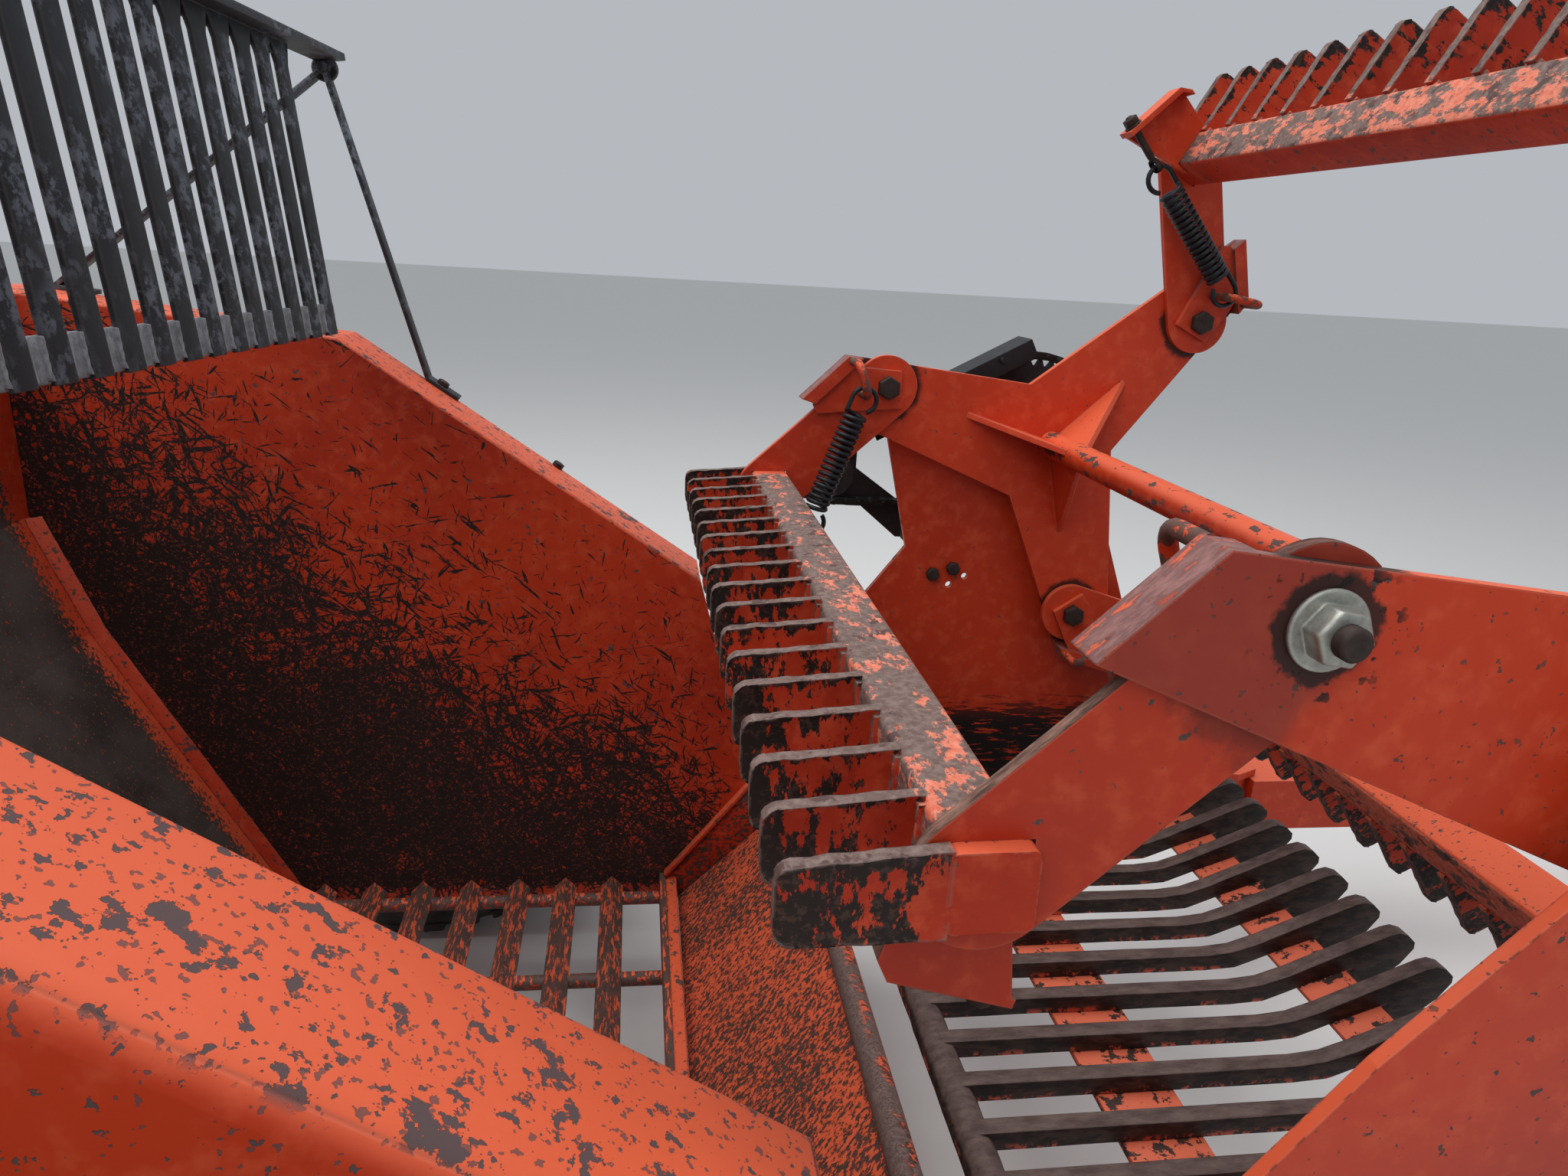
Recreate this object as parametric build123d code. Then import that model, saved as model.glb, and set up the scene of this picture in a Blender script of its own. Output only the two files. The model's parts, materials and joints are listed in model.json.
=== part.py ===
from build123d import *
from math import atan2, cos, degrees, hypot, radians, sin, tan
import os

# Pull-type stone picker with a three-bat reel, at full size, in mm and degrees.
# X is forward, Y is to the machine's left, Z is up. While it is drawn, zero is on
# the reel's axis at the middle of the machine. Every node is written with its
# zero at the hitch eye.

# Driving sizes: stance
REEL_HEIGHT = 1215.0
GROUND = -REEL_HEIGHT

# Driving sizes: reel
BAT_COUNT = 3
BAT_TUBE = 64.0
FINGER_COUNT = 18
FINGER_PITCH = 76.0
FINGER_THICK = 11.0
FINGER_REACH = 119.0
FINGER_TIP = 46.0
FINGER_TIP_ROUND = 12.0
PIVOT_RADIUS = 340.5
FIRST_ARM_ANGLE = 163.8
BAT_OUT = 143.0
BAT_ACROSS = 241.0
FINGER_TURN = 17.1
SPIDER_THICK = 12.0
ARM_THICK = 12.0
ARM_ROUND = 56.0
SPIDER_INSET = 3.5
SHAFT_RADIUS = 24.0
STUB_RADIUS = 25.0
PIVOT_BOLT_RADIUS = 12.0
BOLT_HEAD_RADIUS = 20.0
BOLT_HEAD_THICK = 13.0
WASHER_RADIUS = 25.0
WASHER_THICK = 4.0
NUT_THICK = 17.0
GUSSET_REACH = 175.0
GUSSET_LENGTH = 150.0
GUSSET_THICK = 10.0
STOP_THICK = 30.0
PIVOT_PLATE_THICK = 10.0
FOOT_INSET = 32.0
FOOT_THICK = 9.0
FOOT_FLANGE = 30.0
SPRING_RADIUS = 22.0
ROD_RADIUS = 7.0
ROD_HOLE_GAP = 0.5

# Driving sizes: side plates, grate and lip
BOLT_GAP = 13.0
SIDE_PLATE_THICK = 12.0
BAR_COUNT = 17
BAR_PITCH = 80.0
BAR_THICK = 25.0
GRATE_TOP = -716.0
GRATE_DEEP = 64.0
GRATE_REAR = -335.0
GRATE_BEND = 181.0
GRATE_TIP_RUN = 210.0
GRATE_TIP_RISE = 92.0
GRATE_ROD_RADIUS = 24.0
LIP_THICK = 10.0
LIP_ROUND = 20.0

# Driving sizes: hopper
WALL_GAP = 8.5
WALL_THICK = 8.0
RIM_WIDE = 150.0
SKIRT_DEEP = 230.0
FLOOR_BAR_COUNT = 8
FLOOR_BAR_PITCH = 93.4
FLOOR_BAR_LEG = 32.0
FLOOR_BAR_THICK = 8.0
FLOOR_ROD_RADIUS = 13.0
FLOOR_ROD_COUNT = 6
SCREEN_PITCH = 62.9
SCREEN_BAR_WIDE = 36.0
SCREEN_BAR_THICK = 8.0
SCREEN_HIGH = 445.0
SCREEN_TURN = 6.5
SCREEN_LEAN = 6.8

# Driving sizes: chassis and running gear
BEAM_WIDE = 100.0
BEAM_HIGH = 150.0
BEAM_TOP = -770.0
TYRE_RADIUS = 522.0
TYRE_WIDE = 420.0
RIM_RADIUS = 204.5
TYRE_GAP = 60.0
AXLE_X = -1250.0
SPINDLE_RADIUS = 35.0
FIT = 0.05

# Driving sizes: tongue, jack and cylinders
TONGUE_BOX = 120.0
TONGUE_Z = -805.0
LIFT_PIN = (-250.0, -700.0)
SWING_X = 560.0
HITCH_X = 3000.0
HITCH_EYE_RADIUS = 17.0
HITCH_EYE_THICK = 40.0
CYLINDER_RADIUS = 42.0
CYLINDER_ROD_RADIUS = 20.0
LIFT_STROKE = 112.0
SWING_STROKE = 74.0
PIN_RADIUS = 16.0

# Places that follow from the driving sizes
PICKUP_HALF = (FINGER_COUNT - 1) / 2 * FINGER_PITCH + FINGER_THICK / 2
SPIDER_OUT = PICKUP_HALF - SPIDER_INSET
SPIDER_IN = SPIDER_OUT - SPIDER_THICK
ARM_IN = SPIDER_IN - ARM_THICK
NUT_END = SPIDER_OUT + WASHER_THICK + NUT_THICK + 4
SIDE_IN = NUT_END + BOLT_GAP
SIDE_OUT = SIDE_IN + SIDE_PLATE_THICK
WALL_IN = PICKUP_HALF + WALL_GAP
WALL_OUT = WALL_IN + WALL_THICK
SKIRT_OUT = WALL_IN + RIM_WIDE
DUMP_Y = (WALL_OUT + SKIRT_OUT - WALL_THICK) / 2
BEAM_IN = SIDE_OUT
BEAM_OUT = BEAM_IN + BEAM_WIDE
BEAM_MID = (BEAM_IN + BEAM_OUT) / 2
BEAM_BOTTOM = BEAM_TOP - BEAM_HIGH
AXLE_Z = GROUND + TYRE_RADIUS
TYRE_IN = SKIRT_OUT + TYRE_GAP
TYRE_MID = TYRE_IN + TYRE_WIDE / 2
HITCH = (HITCH_X, BEAM_MID, TONGUE_Z)

os.makedirs("parts", exist_ok=True)


def box(x0, x1, y0, y1, z0, z1):
    return Pos((x0 + x1) / 2, (y0 + y1) / 2, (z0 + z1) / 2) * Box(x1 - x0, y1 - y0, z1 - z0)


def plate_y(points, y0, y1):
    """Flat plate of the outline (x, z) between two values of y."""
    face = make_face(Polyline(*[(x, y0, z) for x, z in points], close=True))
    return extrude(face, amount=y1 - y0, dir=(0, 1, 0))


def plate_z(points, z0, z1):
    """Flat plate of the outline (x, y) between two values of z."""
    face = make_face(Polyline(*[(x, y, z0) for x, y in points], close=True))
    return extrude(face, amount=z1 - z0, dir=(0, 0, 1))


def cyl_y(x, z, radius, y0, y1):
    return Pos(x, (y0 + y1) / 2, z) * Rot(90, 0, 0) * Cylinder(radius, abs(y1 - y0))


def cyl_z(x, y, radius, z0, z1):
    return Pos(x, y, (z0 + z1) / 2) * Cylinder(radius, z1 - z0)


def rod(start, end, radius):
    """Round bar from one point to another."""
    way = Vector(*end) - Vector(*start)
    return extrude(Plane(Vector(*start), z_dir=way) * Circle(radius), amount=way.length)


def hull_y(circles, y0, y1):
    """Plate whose outline is the band round two circles, each (x, z, radius)."""
    (x0, z0, r0), (x1, z1, r1) = circles
    run = hypot(x1 - x0, z1 - z0)
    way = atan2(z1 - z0, x1 - x0)
    lean = atan2((r0 - r1) / run, (1 - ((r0 - r1) / run) ** 2) ** 0.5)
    up = way + radians(90) - lean
    down = way - radians(90) + lean
    corners = [
        (x0 + r0 * cos(up), z0 + r0 * sin(up)),
        (x1 + r1 * cos(up), z1 + r1 * sin(up)),
        (x1 + r1 * cos(down), z1 + r1 * sin(down)),
        (x0 + r0 * cos(down), z0 + r0 * sin(down)),
    ]
    return plate_y(corners, y0, y1) + cyl_y(x0, z0, r0, y0, y1) + cyl_y(x1, z1, r1, y0, y1)


def from_arm(out, across, arm):
    """(x, z) of a point given along and across one spider arm."""
    angle = radians(FIRST_ARM_ANGLE + arm * 360.0 / BAT_COUNT)
    return out * cos(angle) - across * sin(angle), out * sin(angle) + across * cos(angle)


def both(side, inner, outer):
    """The low and high y of a piece that spans inner to outer on one side."""
    return tuple(sorted((side * inner, side * outer)))


def write(name, shape):
    placed = Pos(-HITCH[0], -HITCH[1], -HITCH[2]) * shape
    export_step(placed, f"parts/{name}.step")


# Reel

SPIDER_VALLEY = (82.0, -90.0)
SPIDER_TIP_BACK = (428.0, -29.0)
SPIDER_TIP_FRONT = (483.0, 68.0)


# Corners of the plate under each pivot bolt, out along the arm and across it
PIVOT_PLATE = [(327.0, -35.0), (304.0, 27.0), (362.0, 50.0), (448.0, 84.0), (459.0, 72.0), (418.0, -12.0),
               (384.0, -22.0)]


def spider(side):
    outline = []
    for arm in range(BAT_COUNT):
        outline.append(from_arm(*SPIDER_VALLEY, arm))
        outline.append(from_arm(*SPIDER_TIP_BACK, arm))
        outline.append(from_arm(*SPIDER_TIP_FRONT, arm))
    y0, y1 = both(side, SPIDER_IN, SPIDER_OUT)
    plate = plate_y(outline, y0, y1)
    s0, s1 = both(side, SPIDER_IN - STOP_THICK, SPIDER_IN)
    for arm in range(BAT_COUNT):
        x, z = from_arm(PIVOT_RADIUS, 0, arm)
        plate -= cyl_y(x, z, PIVOT_BOLT_RADIUS, y0, y1)
        stop = [(402.0, -33.0), SPIDER_TIP_BACK, SPIDER_TIP_FRONT, (457.0, 68.0)]
        plate += plate_y([from_arm(*p, arm) for p in stop], s0, s1)
        p0, p1 = both(side, ARM_IN - PIVOT_PLATE_THICK, ARM_IN)
        pivot_plate = plate_y([from_arm(*p, arm) for p in PIVOT_PLATE], p0, p1)
        plate += pivot_plate - cyl_y(x, z, PIVOT_BOLT_RADIUS, p0, p1)
        tip = from_arm(GUSSET_REACH, 0, arm)
        gusset = make_face(Polyline(
            (0, side * SPIDER_IN, 0),
            (tip[0], side * SPIDER_IN, tip[1]),
            (0, side * (SPIDER_IN - GUSSET_LENGTH), 0), close=True))
        plate += extrude(gusset, amount=GUSSET_THICK / 2, both=True)
    plate -= cyl_y(0, 0, SHAFT_RADIUS, -SPIDER_OUT, SPIDER_OUT)
    return plate


def bat(arm):
    """Square tube of one bat with its row of fingers."""
    angle = radians(FIRST_ARM_ANGLE + arm * 360.0 / BAT_COUNT + FINGER_TURN)
    out = Vector(cos(angle), 0, sin(angle))
    up = Vector(-sin(angle), 0, cos(angle))
    cx, cz = from_arm(PIVOT_RADIUS + BAT_OUT, BAT_ACROSS, arm)
    centre = Vector(cx, 0, cz)

    def outline(points):
        return [((centre + out * a + up * b).X, (centre + out * a + up * b).Z) for a, b in points]

    half = BAT_TUBE / 2
    tube = plate_y(outline([(-half, -half), (half, -half), (half, half), (-half, half)]),
                   -PICKUP_HALF, PICKUP_HALF)
    tip_out = half + FINGER_REACH
    shape = [(half, -half), (tip_out - FINGER_TIP_ROUND, FINGER_TIP / 2 - half - FINGER_TIP + half),
             (tip_out, FINGER_TIP_ROUND - FINGER_TIP / 2), (tip_out, half - FINGER_TIP_ROUND),
             (tip_out - FINGER_TIP_ROUND, half), (half, half)]
    for i in range(FINGER_COUNT):
        y = (i - (FINGER_COUNT - 1) / 2) * FINGER_PITCH
        tube += plate_y(outline(shape), y - FINGER_THICK / 2, y + FINGER_THICK / 2)
    return tube


# Ends of a spring's coil, the ring's seat and the eye bolt's ends, out along the arm and across it
SPRING_TOP = (391.0, 58.0)
SPRING_LOW = (402.0, 240.0)
RING_SEAT = (430.0, -4.0)
SPRING_SLOPE = (SPRING_LOW[0] - SPRING_TOP[0]) / (SPRING_LOW[1] - SPRING_TOP[1])
EYE_TOP = 384.0
EYE_NUT = 13.0
EYE_NUT_THICK = 12.0
SPRING_Y = ARM_IN - FOOT_INSET - FOOT_THICK - FOOT_FLANGE / 2


def on_eye(across):
    """Place on the eye bolt's line, which carries on from its spring."""
    return (SPRING_LOW[0] + SPRING_SLOPE * (across - SPRING_LOW[1]), across)


# Corners of the bracket under a bat's tube, out along the arm and across it
FOOT_CAP = [(393.0, 366.0), (500.0, 366.0), (514.0, 350.0)]
FOOT_TUBE = [(514.0, 262.0), (446.0, 240.0)]


def bat_arms():
    """Arms from the pivots to the bats' tubes, each with the bracket that holds its spring."""
    arms = []
    for arm in range(BAT_COUNT):
        px, pz = from_arm(PIVOT_RADIUS, 0, arm)
        cx, cz = from_arm(PIVOT_RADIUS + BAT_OUT, BAT_ACROSS, arm)
        tube = bat(arm)
        for side in (-1, 1):
            y0, y1 = both(side, ARM_IN, SPIDER_IN)
            piece = hull_y([(px, pz, ARM_ROUND), (cx, cz, ARM_ROUND)], y0, y1)
            arms.append(piece - cyl_y(px, pz, PIVOT_BOLT_RADIUS, y0, y1) - tube)
            face = ARM_IN - FOOT_INSET
            f0, f1 = both(side, face - FOOT_THICK, face)
            foot = plate_y([from_arm(*p, arm) for p in FOOT_CAP + FOOT_TUBE], f0, f1)
            under = [(out, across - FOOT_THICK) for out, across in FOOT_CAP]
            c0, c1 = both(side, face - FOOT_THICK - FOOT_FLANGE, face)
            foot += plate_y([from_arm(*p, arm) for p in FOOT_CAP + under[::-1]], c0, c1)
            hole = [from_arm(*on_eye(across), arm) for across in (SPRING_LOW[1], EYE_TOP)]
            foot -= rod(*[(x, side * SPRING_Y, z) for x, z in hole], ROD_RADIUS + ROD_HOLE_GAP)
            arms.append(foot - tube)
    return Compound(arms)


def bat_bolts():
    bolts = []
    for arm in range(BAT_COUNT):
        x, z = from_arm(PIVOT_RADIUS, 0, arm)
        for side in (-1, 1):
            seat = ARM_IN - PIVOT_PLATE_THICK
            y0, y1 = both(side, seat - BOLT_HEAD_THICK, NUT_END)
            bolt = cyl_y(x, z, PIVOT_BOLT_RADIUS, y0, y1)
            h0, h1 = both(side, seat - BOLT_HEAD_THICK, seat)
            bolt += cyl_y(x, z, BOLT_HEAD_RADIUS, h0, h1)
            w0, w1 = both(side, SPIDER_OUT, SPIDER_OUT + WASHER_THICK)
            bolt += cyl_y(x, z, WASHER_RADIUS, w0, w1)
            n0, n1 = both(side, SPIDER_OUT + WASHER_THICK, SPIDER_OUT + WASHER_THICK + NUT_THICK)
            bolt += cyl_y(x, z, BOLT_HEAD_RADIUS, n0, n1)
            bolts.append(bolt)
    return Compound(bolts)




def bent_rod(points):
    """Round rod in straight runs with a knuckle at each bend."""
    piece = None
    for start, end in zip(points, points[1:]):
        run = rod(start, end, ROD_RADIUS)
        piece = run if piece is None else piece + run
    for bend in points[1:-1]:
        piece += Pos(*bend) * Sphere(ROD_RADIUS + 1.5)
    return piece


def springs():
    rings = []
    coils = []
    for arm in range(BAT_COUNT):
        for side in (-1, 1):
            y = side * SPRING_Y

            def at(place, across=y):
                x, z = from_arm(*place, arm)
                return (x, across, z)

            coils.append(rod(at(SPRING_TOP), at(SPRING_LOW), SPRING_RADIUS))
            run = Vector(SPRING_LOW[0] - SPRING_TOP[0], SPRING_LOW[1] - SPRING_TOP[1], 0).normalized()
            hook = (SPRING_TOP[0] - run.X * 30, SPRING_TOP[1] - run.Y * 30)
            seat = FOOT_CAP[0][1] + EYE_NUT * SPRING_SLOPE
            nut = rod(at(on_eye(seat)), at(on_eye(seat + EYE_NUT_THICK)), EYE_NUT)
            rings.append(rod(at(SPRING_LOW), at(on_eye(EYE_TOP)), ROD_RADIUS) + nut)
            rings.append(bent_rod([at(SPRING_TOP), at(hook), at(RING_SEAT),
                                   at(RING_SEAT, side * (SPIDER_IN - STOP_THICK))]))
    return Compound(coils), Compound(rings)


def reel_shaft():
    shaft = cyl_y(0, 0, SHAFT_RADIUS, -SPIDER_OUT, SPIDER_OUT)
    shaft += cyl_y(0, 0, STUB_RADIUS, SPIDER_OUT, SPROCKET_Y + 24)
    shaft += cyl_y(0, 0, STUB_RADIUS, -BEARING_END - 10, -SPIDER_OUT)
    return shaft


BEARING_END = SIDE_OUT + 50.0
SPROCKET_Y = BEARING_END + 12.0
SPROCKET_RADIUS = 140.0
SPROCKET_THICK = 12.0
DRIVE_X = -392.0
DRIVE_Z = -95.0
DRIVE_RADIUS = 45.0
CHAIN_GAP = 5.0
CHAIN_SEAT = 0.3
CHAIN_DEEP = 14.0
GUARD_WALL = 4.0
GUARD_LOW = (-330.0, 26.0)
GUARD_HIGH = (-35.0, 186.0)
GUARD_DEEP = 62.0
GUARD_STAND = 8.0
GUARD_STUDS = (0.42, 0.8)
GUARD_STUD_RADIUS = 5.0
GUARD_STUD_DROP = 11.0
MOTOR_PLATE = 10.0


def sprocket():
    disc = cyl_y(0, 0, SPROCKET_RADIUS, SPROCKET_Y, SPROCKET_Y + SPROCKET_THICK)
    disc += cyl_y(0, 0, 55, SPROCKET_Y - 8, SPROCKET_Y + 20)
    return disc - cyl_y(0, 0, STUB_RADIUS, SPROCKET_Y - 8, SPROCKET_Y + 20)


def chain():
    y0, y1 = SPROCKET_Y - 2, SPROCKET_Y + SPROCKET_THICK + 2
    big = SPROCKET_RADIUS + CHAIN_GAP
    small = DRIVE_RADIUS + CHAIN_SEAT
    loop = hull_y([(0, 0, big + CHAIN_DEEP), (DRIVE_X, DRIVE_Z, small + CHAIN_DEEP)], y0, y1)
    return loop - hull_y([(0, 0, big), (DRIVE_X, DRIVE_Z, small)], y0, y1)


# Side plates, grate and lip

SIDE_OUTLINE_REAR = [(-560.0, -800.0), (-560.0, -775.0), (-440.0, -760.0), (-420.0, -450.0), (-248.0, -218.0)]
SIDE_OUTLINE_TOP = {
    1: [(-301.0, -9.0), (-290.0, 75.0), (60.0, 75.0), (110.0, 30.0), (158.0, -173.0), (219.0, -326.0)],
    -1: [(-110.0, -65.0), (-70.0, 75.0), (60.0, 75.0), (110.0, 30.0), (158.0, -173.0), (219.0, -326.0)],
}
SIDE_OUTLINE_FRONT = [(380.0, -560.0), (431.0, -640.0), (409.0, -700.0), (345.0, -755.0), (181.0, -800.0)]


def side_plate(side):
    y0, y1 = both(side, SIDE_IN, SIDE_OUT)
    plate = plate_y(SIDE_OUTLINE_REAR + SIDE_OUTLINE_TOP[side] + SIDE_OUTLINE_FRONT, y0, y1)
    return plate - cyl_y(0, 0, STUB_RADIUS + 8, y0, y1)


def bearing(side):
    y0, y1 = both(side, SIDE_OUT, BEARING_END)
    f0, f1 = both(side, SIDE_OUT, SIDE_OUT + 16)
    housing = cyl_y(0, 0, 55, y0, y1) + box(-70, 70, f0, f1, -70, 70)
    return housing - cyl_y(0, 0, STUB_RADIUS + FIT, y0, y1)


def grate():
    tip_x = GRATE_BEND + GRATE_TIP_RUN
    tip_z = GRATE_TOP + GRATE_TIP_RISE
    bottom = GRATE_TOP - GRATE_DEEP
    outline = [(GRATE_REAR, GRATE_TOP), (GRATE_BEND, GRATE_TOP), (tip_x, tip_z), (tip_x + 40, tip_z - 25),
               (tip_x + 18, tip_z - 59), (tip_x - 46, tip_z - 114), (GRATE_BEND, bottom), (GRATE_REAR, bottom)]
    tray = cyl_y(GRATE_REAR - 8, GRATE_TOP - GRATE_ROD_RADIUS, GRATE_ROD_RADIUS, -SIDE_IN, SIDE_IN)
    for x0, x1 in ((-80.0, 20.0), (170.0, 240.0)):
        tray += box(x0, x1, -SIDE_IN, SIDE_IN, bottom - 12, bottom)
    for i in range(BAR_COUNT):
        y = (i - (BAR_COUNT - 1) / 2) * BAR_PITCH
        tray += plate_y(outline, y - BAR_THICK / 2, y + BAR_THICK / 2)
    return tray


LIP_LOW = (-673.0, -974.0)
LIP_TOP = (-437.0, -740.0)
LIP_END = PICKUP_HALF


def lip():
    slope = atan2(LIP_TOP[1] - LIP_LOW[1], LIP_TOP[0] - LIP_LOW[0])
    dx, dz = sin(slope) * LIP_THICK, -cos(slope) * LIP_THICK
    plate = plate_y([LIP_LOW, LIP_TOP, (LIP_TOP[0] + dx, LIP_TOP[1] + dz), (LIP_LOW[0] + dx, LIP_LOW[1] + dz)],
                    -LIP_END, LIP_END)
    nose = cyl_y(LIP_TOP[0], LIP_TOP[1] - LIP_ROUND / 2, LIP_ROUND, -LIP_END, LIP_END)
    tube = box(-515, -435, -BEAM_IN, BEAM_IN, -905, -825)
    ribs = None
    for y in (-500.0, -170.0, 170.0, 500.0):
        rib = plate_y([(-660, -968), (-455, -765), (-440, -830), (-440, -900), (-520, -968)], y - 5, y + 5)
        ribs = rib if ribs is None else ribs + rib
    return plate + nose + tube + ribs


# Hopper

RIM_REAR = (-1797.0, 188.0)
RIM_BREAK = (-1275.0, 135.0)
RIM_FRONT = (-648.0, -283.0)
WALL_FRONT = (-530.0, -715.0)
WALL_TOE = (-700.0, -925.0)
FLOOR_Z = -975.0
FLOOR_REAR = (-1408.0, -975.0)
SLOPE_KNEE = (-1720.0, -394.0)
SLOPE_TOP = (-1797.0, -188.0)
DUMP_PIVOT = (-1780.0, -620.0)


def wall(side):
    y0, y1 = both(side, WALL_IN, WALL_OUT)
    outline = [RIM_REAR, RIM_BREAK, RIM_FRONT, WALL_FRONT, WALL_TOE, (WALL_TOE[0], FLOOR_Z),
               FLOOR_REAR, SLOPE_KNEE, SLOPE_TOP]
    panel = plate_y(outline, y0, y1)
    r0, r1 = both(side, WALL_IN, SKIRT_OUT)
    k0, k1 = both(side, SKIRT_OUT - WALL_THICK, SKIRT_OUT)
    for a, b in ((RIM_REAR, RIM_BREAK), (RIM_BREAK, RIM_FRONT)):
        panel += plate_y([a, b, (b[0], b[1] - WALL_THICK), (a[0], a[1] - WALL_THICK)], r0, r1)
        panel += plate_y([a, b, (b[0], b[1] - SKIRT_DEEP), (a[0], a[1] - SKIRT_DEEP)], k0, k1)
    return panel


def rear_panel():
    points = [FLOOR_REAR, SLOPE_KNEE, SLOPE_TOP, RIM_REAR]
    back = [(x - WALL_THICK, z) for x, z in points]
    panel = plate_y(points + back[::-1], -WALL_IN, WALL_IN)
    lip_plate = box(RIM_REAR[0] - 90, RIM_REAR[0], -SKIRT_OUT, SKIRT_OUT, RIM_REAR[1] - WALL_THICK, RIM_REAR[1])
    down = box(RIM_REAR[0] - 90, RIM_REAR[0] - 90 + WALL_THICK, -SKIRT_OUT, SKIRT_OUT,
               RIM_REAR[1] - 90, RIM_REAR[1])
    return panel + lip_plate + down


def floor_grate():
    first = -1369.0
    half = WALL_IN
    top = FLOOR_Z + 50
    frame_bar = box(-712, -700, -half, half, FLOOR_Z, top + 5)
    frame_bar += box(FLOOR_REAR[0], FLOOR_REAR[0] + 8, -half, half, FLOOR_Z, top - 12)
    for i in range(FLOOR_BAR_COUNT):
        x = first + i * FLOOR_BAR_PITCH
        if x > -740:
            continue
        leg = FLOOR_BAR_LEG * 0.7071
        inner = FLOOR_BAR_THICK * 1.4142
        frame_bar += plate_y([(x, top), (x + leg, top - leg), (x + leg - 6, top - leg - 6), (x, top - inner),
                              (x - leg + 6, top - leg - 6), (x - leg, top - leg)], -half, half)
    for i in range(FLOOR_ROD_COUNT):
        y = (i - (FLOOR_ROD_COUNT - 1) / 2) * 251.0
        frame_bar += rod((FLOOR_REAR[0] + 4, y, top - 32), (-700, y, top - 32), FLOOR_ROD_RADIUS)
    return frame_bar


def pivot_lugs():
    lugs = None
    lean = (SLOPE_KNEE[0] - FLOOR_REAR[0]) / (SLOPE_KNEE[1] - FLOOR_REAR[1])
    high = (FLOOR_REAR[0] - WALL_THICK + lean * (-520 - FLOOR_REAR[1]), -520)
    low = (FLOOR_REAR[0] - WALL_THICK + lean * (-750 - FLOOR_REAR[1]), -750)
    for y in (-500.0, 500.0):
        lug = plate_y([high, low, (-1730, -680), (-1830, -640), (-1820, -570)], y - 10, y + 10)
        lug = lug + cyl_y(DUMP_PIVOT[0], DUMP_PIVOT[1], 50, y - 25, y + 25)
        lug -= cyl_y(DUMP_PIVOT[0], DUMP_PIVOT[1], 25 + FIT, y - 25, y + 25)
        lugs = lug if lugs is None else lugs + lug
    return lugs


# The screen stands across the hopper, turned a little in plan and leaning to the rear
SCREEN_FOOT = (-1266.0, 640.0, 143.5)
SCREEN_EDGE = 30.0
SCREEN_ARCH = 34.0
SCREEN_STRAP = 52.0
SCREEN_FLAT = 26.0
RAIL_THICK = 8.0
RAIL_DEEP = 46.0
RAIL_OVER = 14.0
STRUT_HALF = 15.0
STRUT_THICK = 8.0
STRUT_PAD = 8.0
STRUT_EDGE = 20.0
STRUT_SEAT = 0.3
# Columns: x of the foot, x of the strut's front edge ahead of its head
STRUT_FEET = ((-1146.0, -2.0), (-1750.0, 10.0))


def rim_height(x):
    a, b = (RIM_BREAK, RIM_FRONT) if x > RIM_BREAK[0] else (RIM_REAR, RIM_BREAK)
    return a[1] + (x - a[0]) * (b[1] - a[1]) / (b[0] - a[0])


def screen_plane():
    """Plane of the bars: x runs from the left corner to the right, y up the bars, z to the rear."""
    turn, lean = radians(SCREEN_TURN), radians(SCREEN_LEAN)
    across = Vector(-sin(turn), -cos(turn), 0)
    back = Vector(-cos(turn), sin(turn), 0)
    up = Vector(back.X * sin(lean), back.Y * sin(lean), cos(lean))
    return Plane(origin=SCREEN_FOOT, x_dir=across, z_dir=across.cross(up))


def screen_span():
    """Length of the screen between the hopper's walls, and how many bars it holds."""
    length = (SCREEN_FOOT[1] + WALL_IN - 5.0) / cos(radians(SCREEN_TURN))
    return length, int((length - 2 * SCREEN_EDGE) / SCREEN_PITCH) + 1


def on_screen(points, front, back):
    """Plate along the screen, between two distances ahead of the bars' middle."""
    face = make_face(Polyline(*[(a, b, 0) for a, b in points], close=True))
    return screen_plane().location * (Pos(0, 0, -front) * extrude(face, amount=front - back, dir=(0, 0, 1)))


def screen():
    length, count = screen_span()
    half = SCREEN_BAR_WIDE / 2
    wide = SCREEN_PITCH / 2
    grid = on_screen([(0, 0), (length, 0), (length, SCREEN_STRAP), (0, SCREEN_STRAP)],
                     SCREEN_BAR_THICK / 2 + 6, SCREEN_BAR_THICK / 2)
    flat_low = SCREEN_STRAP + 12
    flat_high = flat_low + SCREEN_FLAT
    grid += on_screen([(0, flat_low), (length, flat_low), (length, flat_high), (0, flat_high)],
                      -SCREEN_BAR_THICK / 2, -SCREEN_BAR_THICK / 2 - 8)
    for i in range(count):
        x = SCREEN_EDGE + i * SCREEN_PITCH
        arch = SCREEN_HIGH - SCREEN_ARCH
        grid += on_screen([(x - half, 0), (x + half, 0), (x + half, arch), (x + wide, SCREEN_HIGH),
                           (x - wide, SCREEN_HIGH), (x - half, arch)], SCREEN_BAR_THICK / 2, -SCREEN_BAR_THICK / 2)
    return grid + screen_rail()


def screen_rail():
    """Angle along the top, out over both rims to the struts."""
    turn = cos(radians(SCREEN_TURN))
    left = (SCREEN_FOOT[1] - SKIRT_OUT + STRUT_EDGE - STRUT_HALF) / turn
    right = (SCREEN_FOOT[1] + SKIRT_OUT - STRUT_EDGE + STRUT_HALF) / turn
    low, top = SCREEN_HIGH - RAIL_THICK, SCREEN_HIGH + RAIL_THICK / 2
    rail = on_screen([(left, low), (right, low), (right, top), (left, top)], RAIL_DEEP - RAIL_OVER, -RAIL_OVER)
    return rail + on_screen([(left, low - 26), (right, low - 26), (right, top), (left, top)],
                            RAIL_DEEP - RAIL_OVER, RAIL_DEEP - RAIL_OVER - RAIL_THICK)


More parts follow.
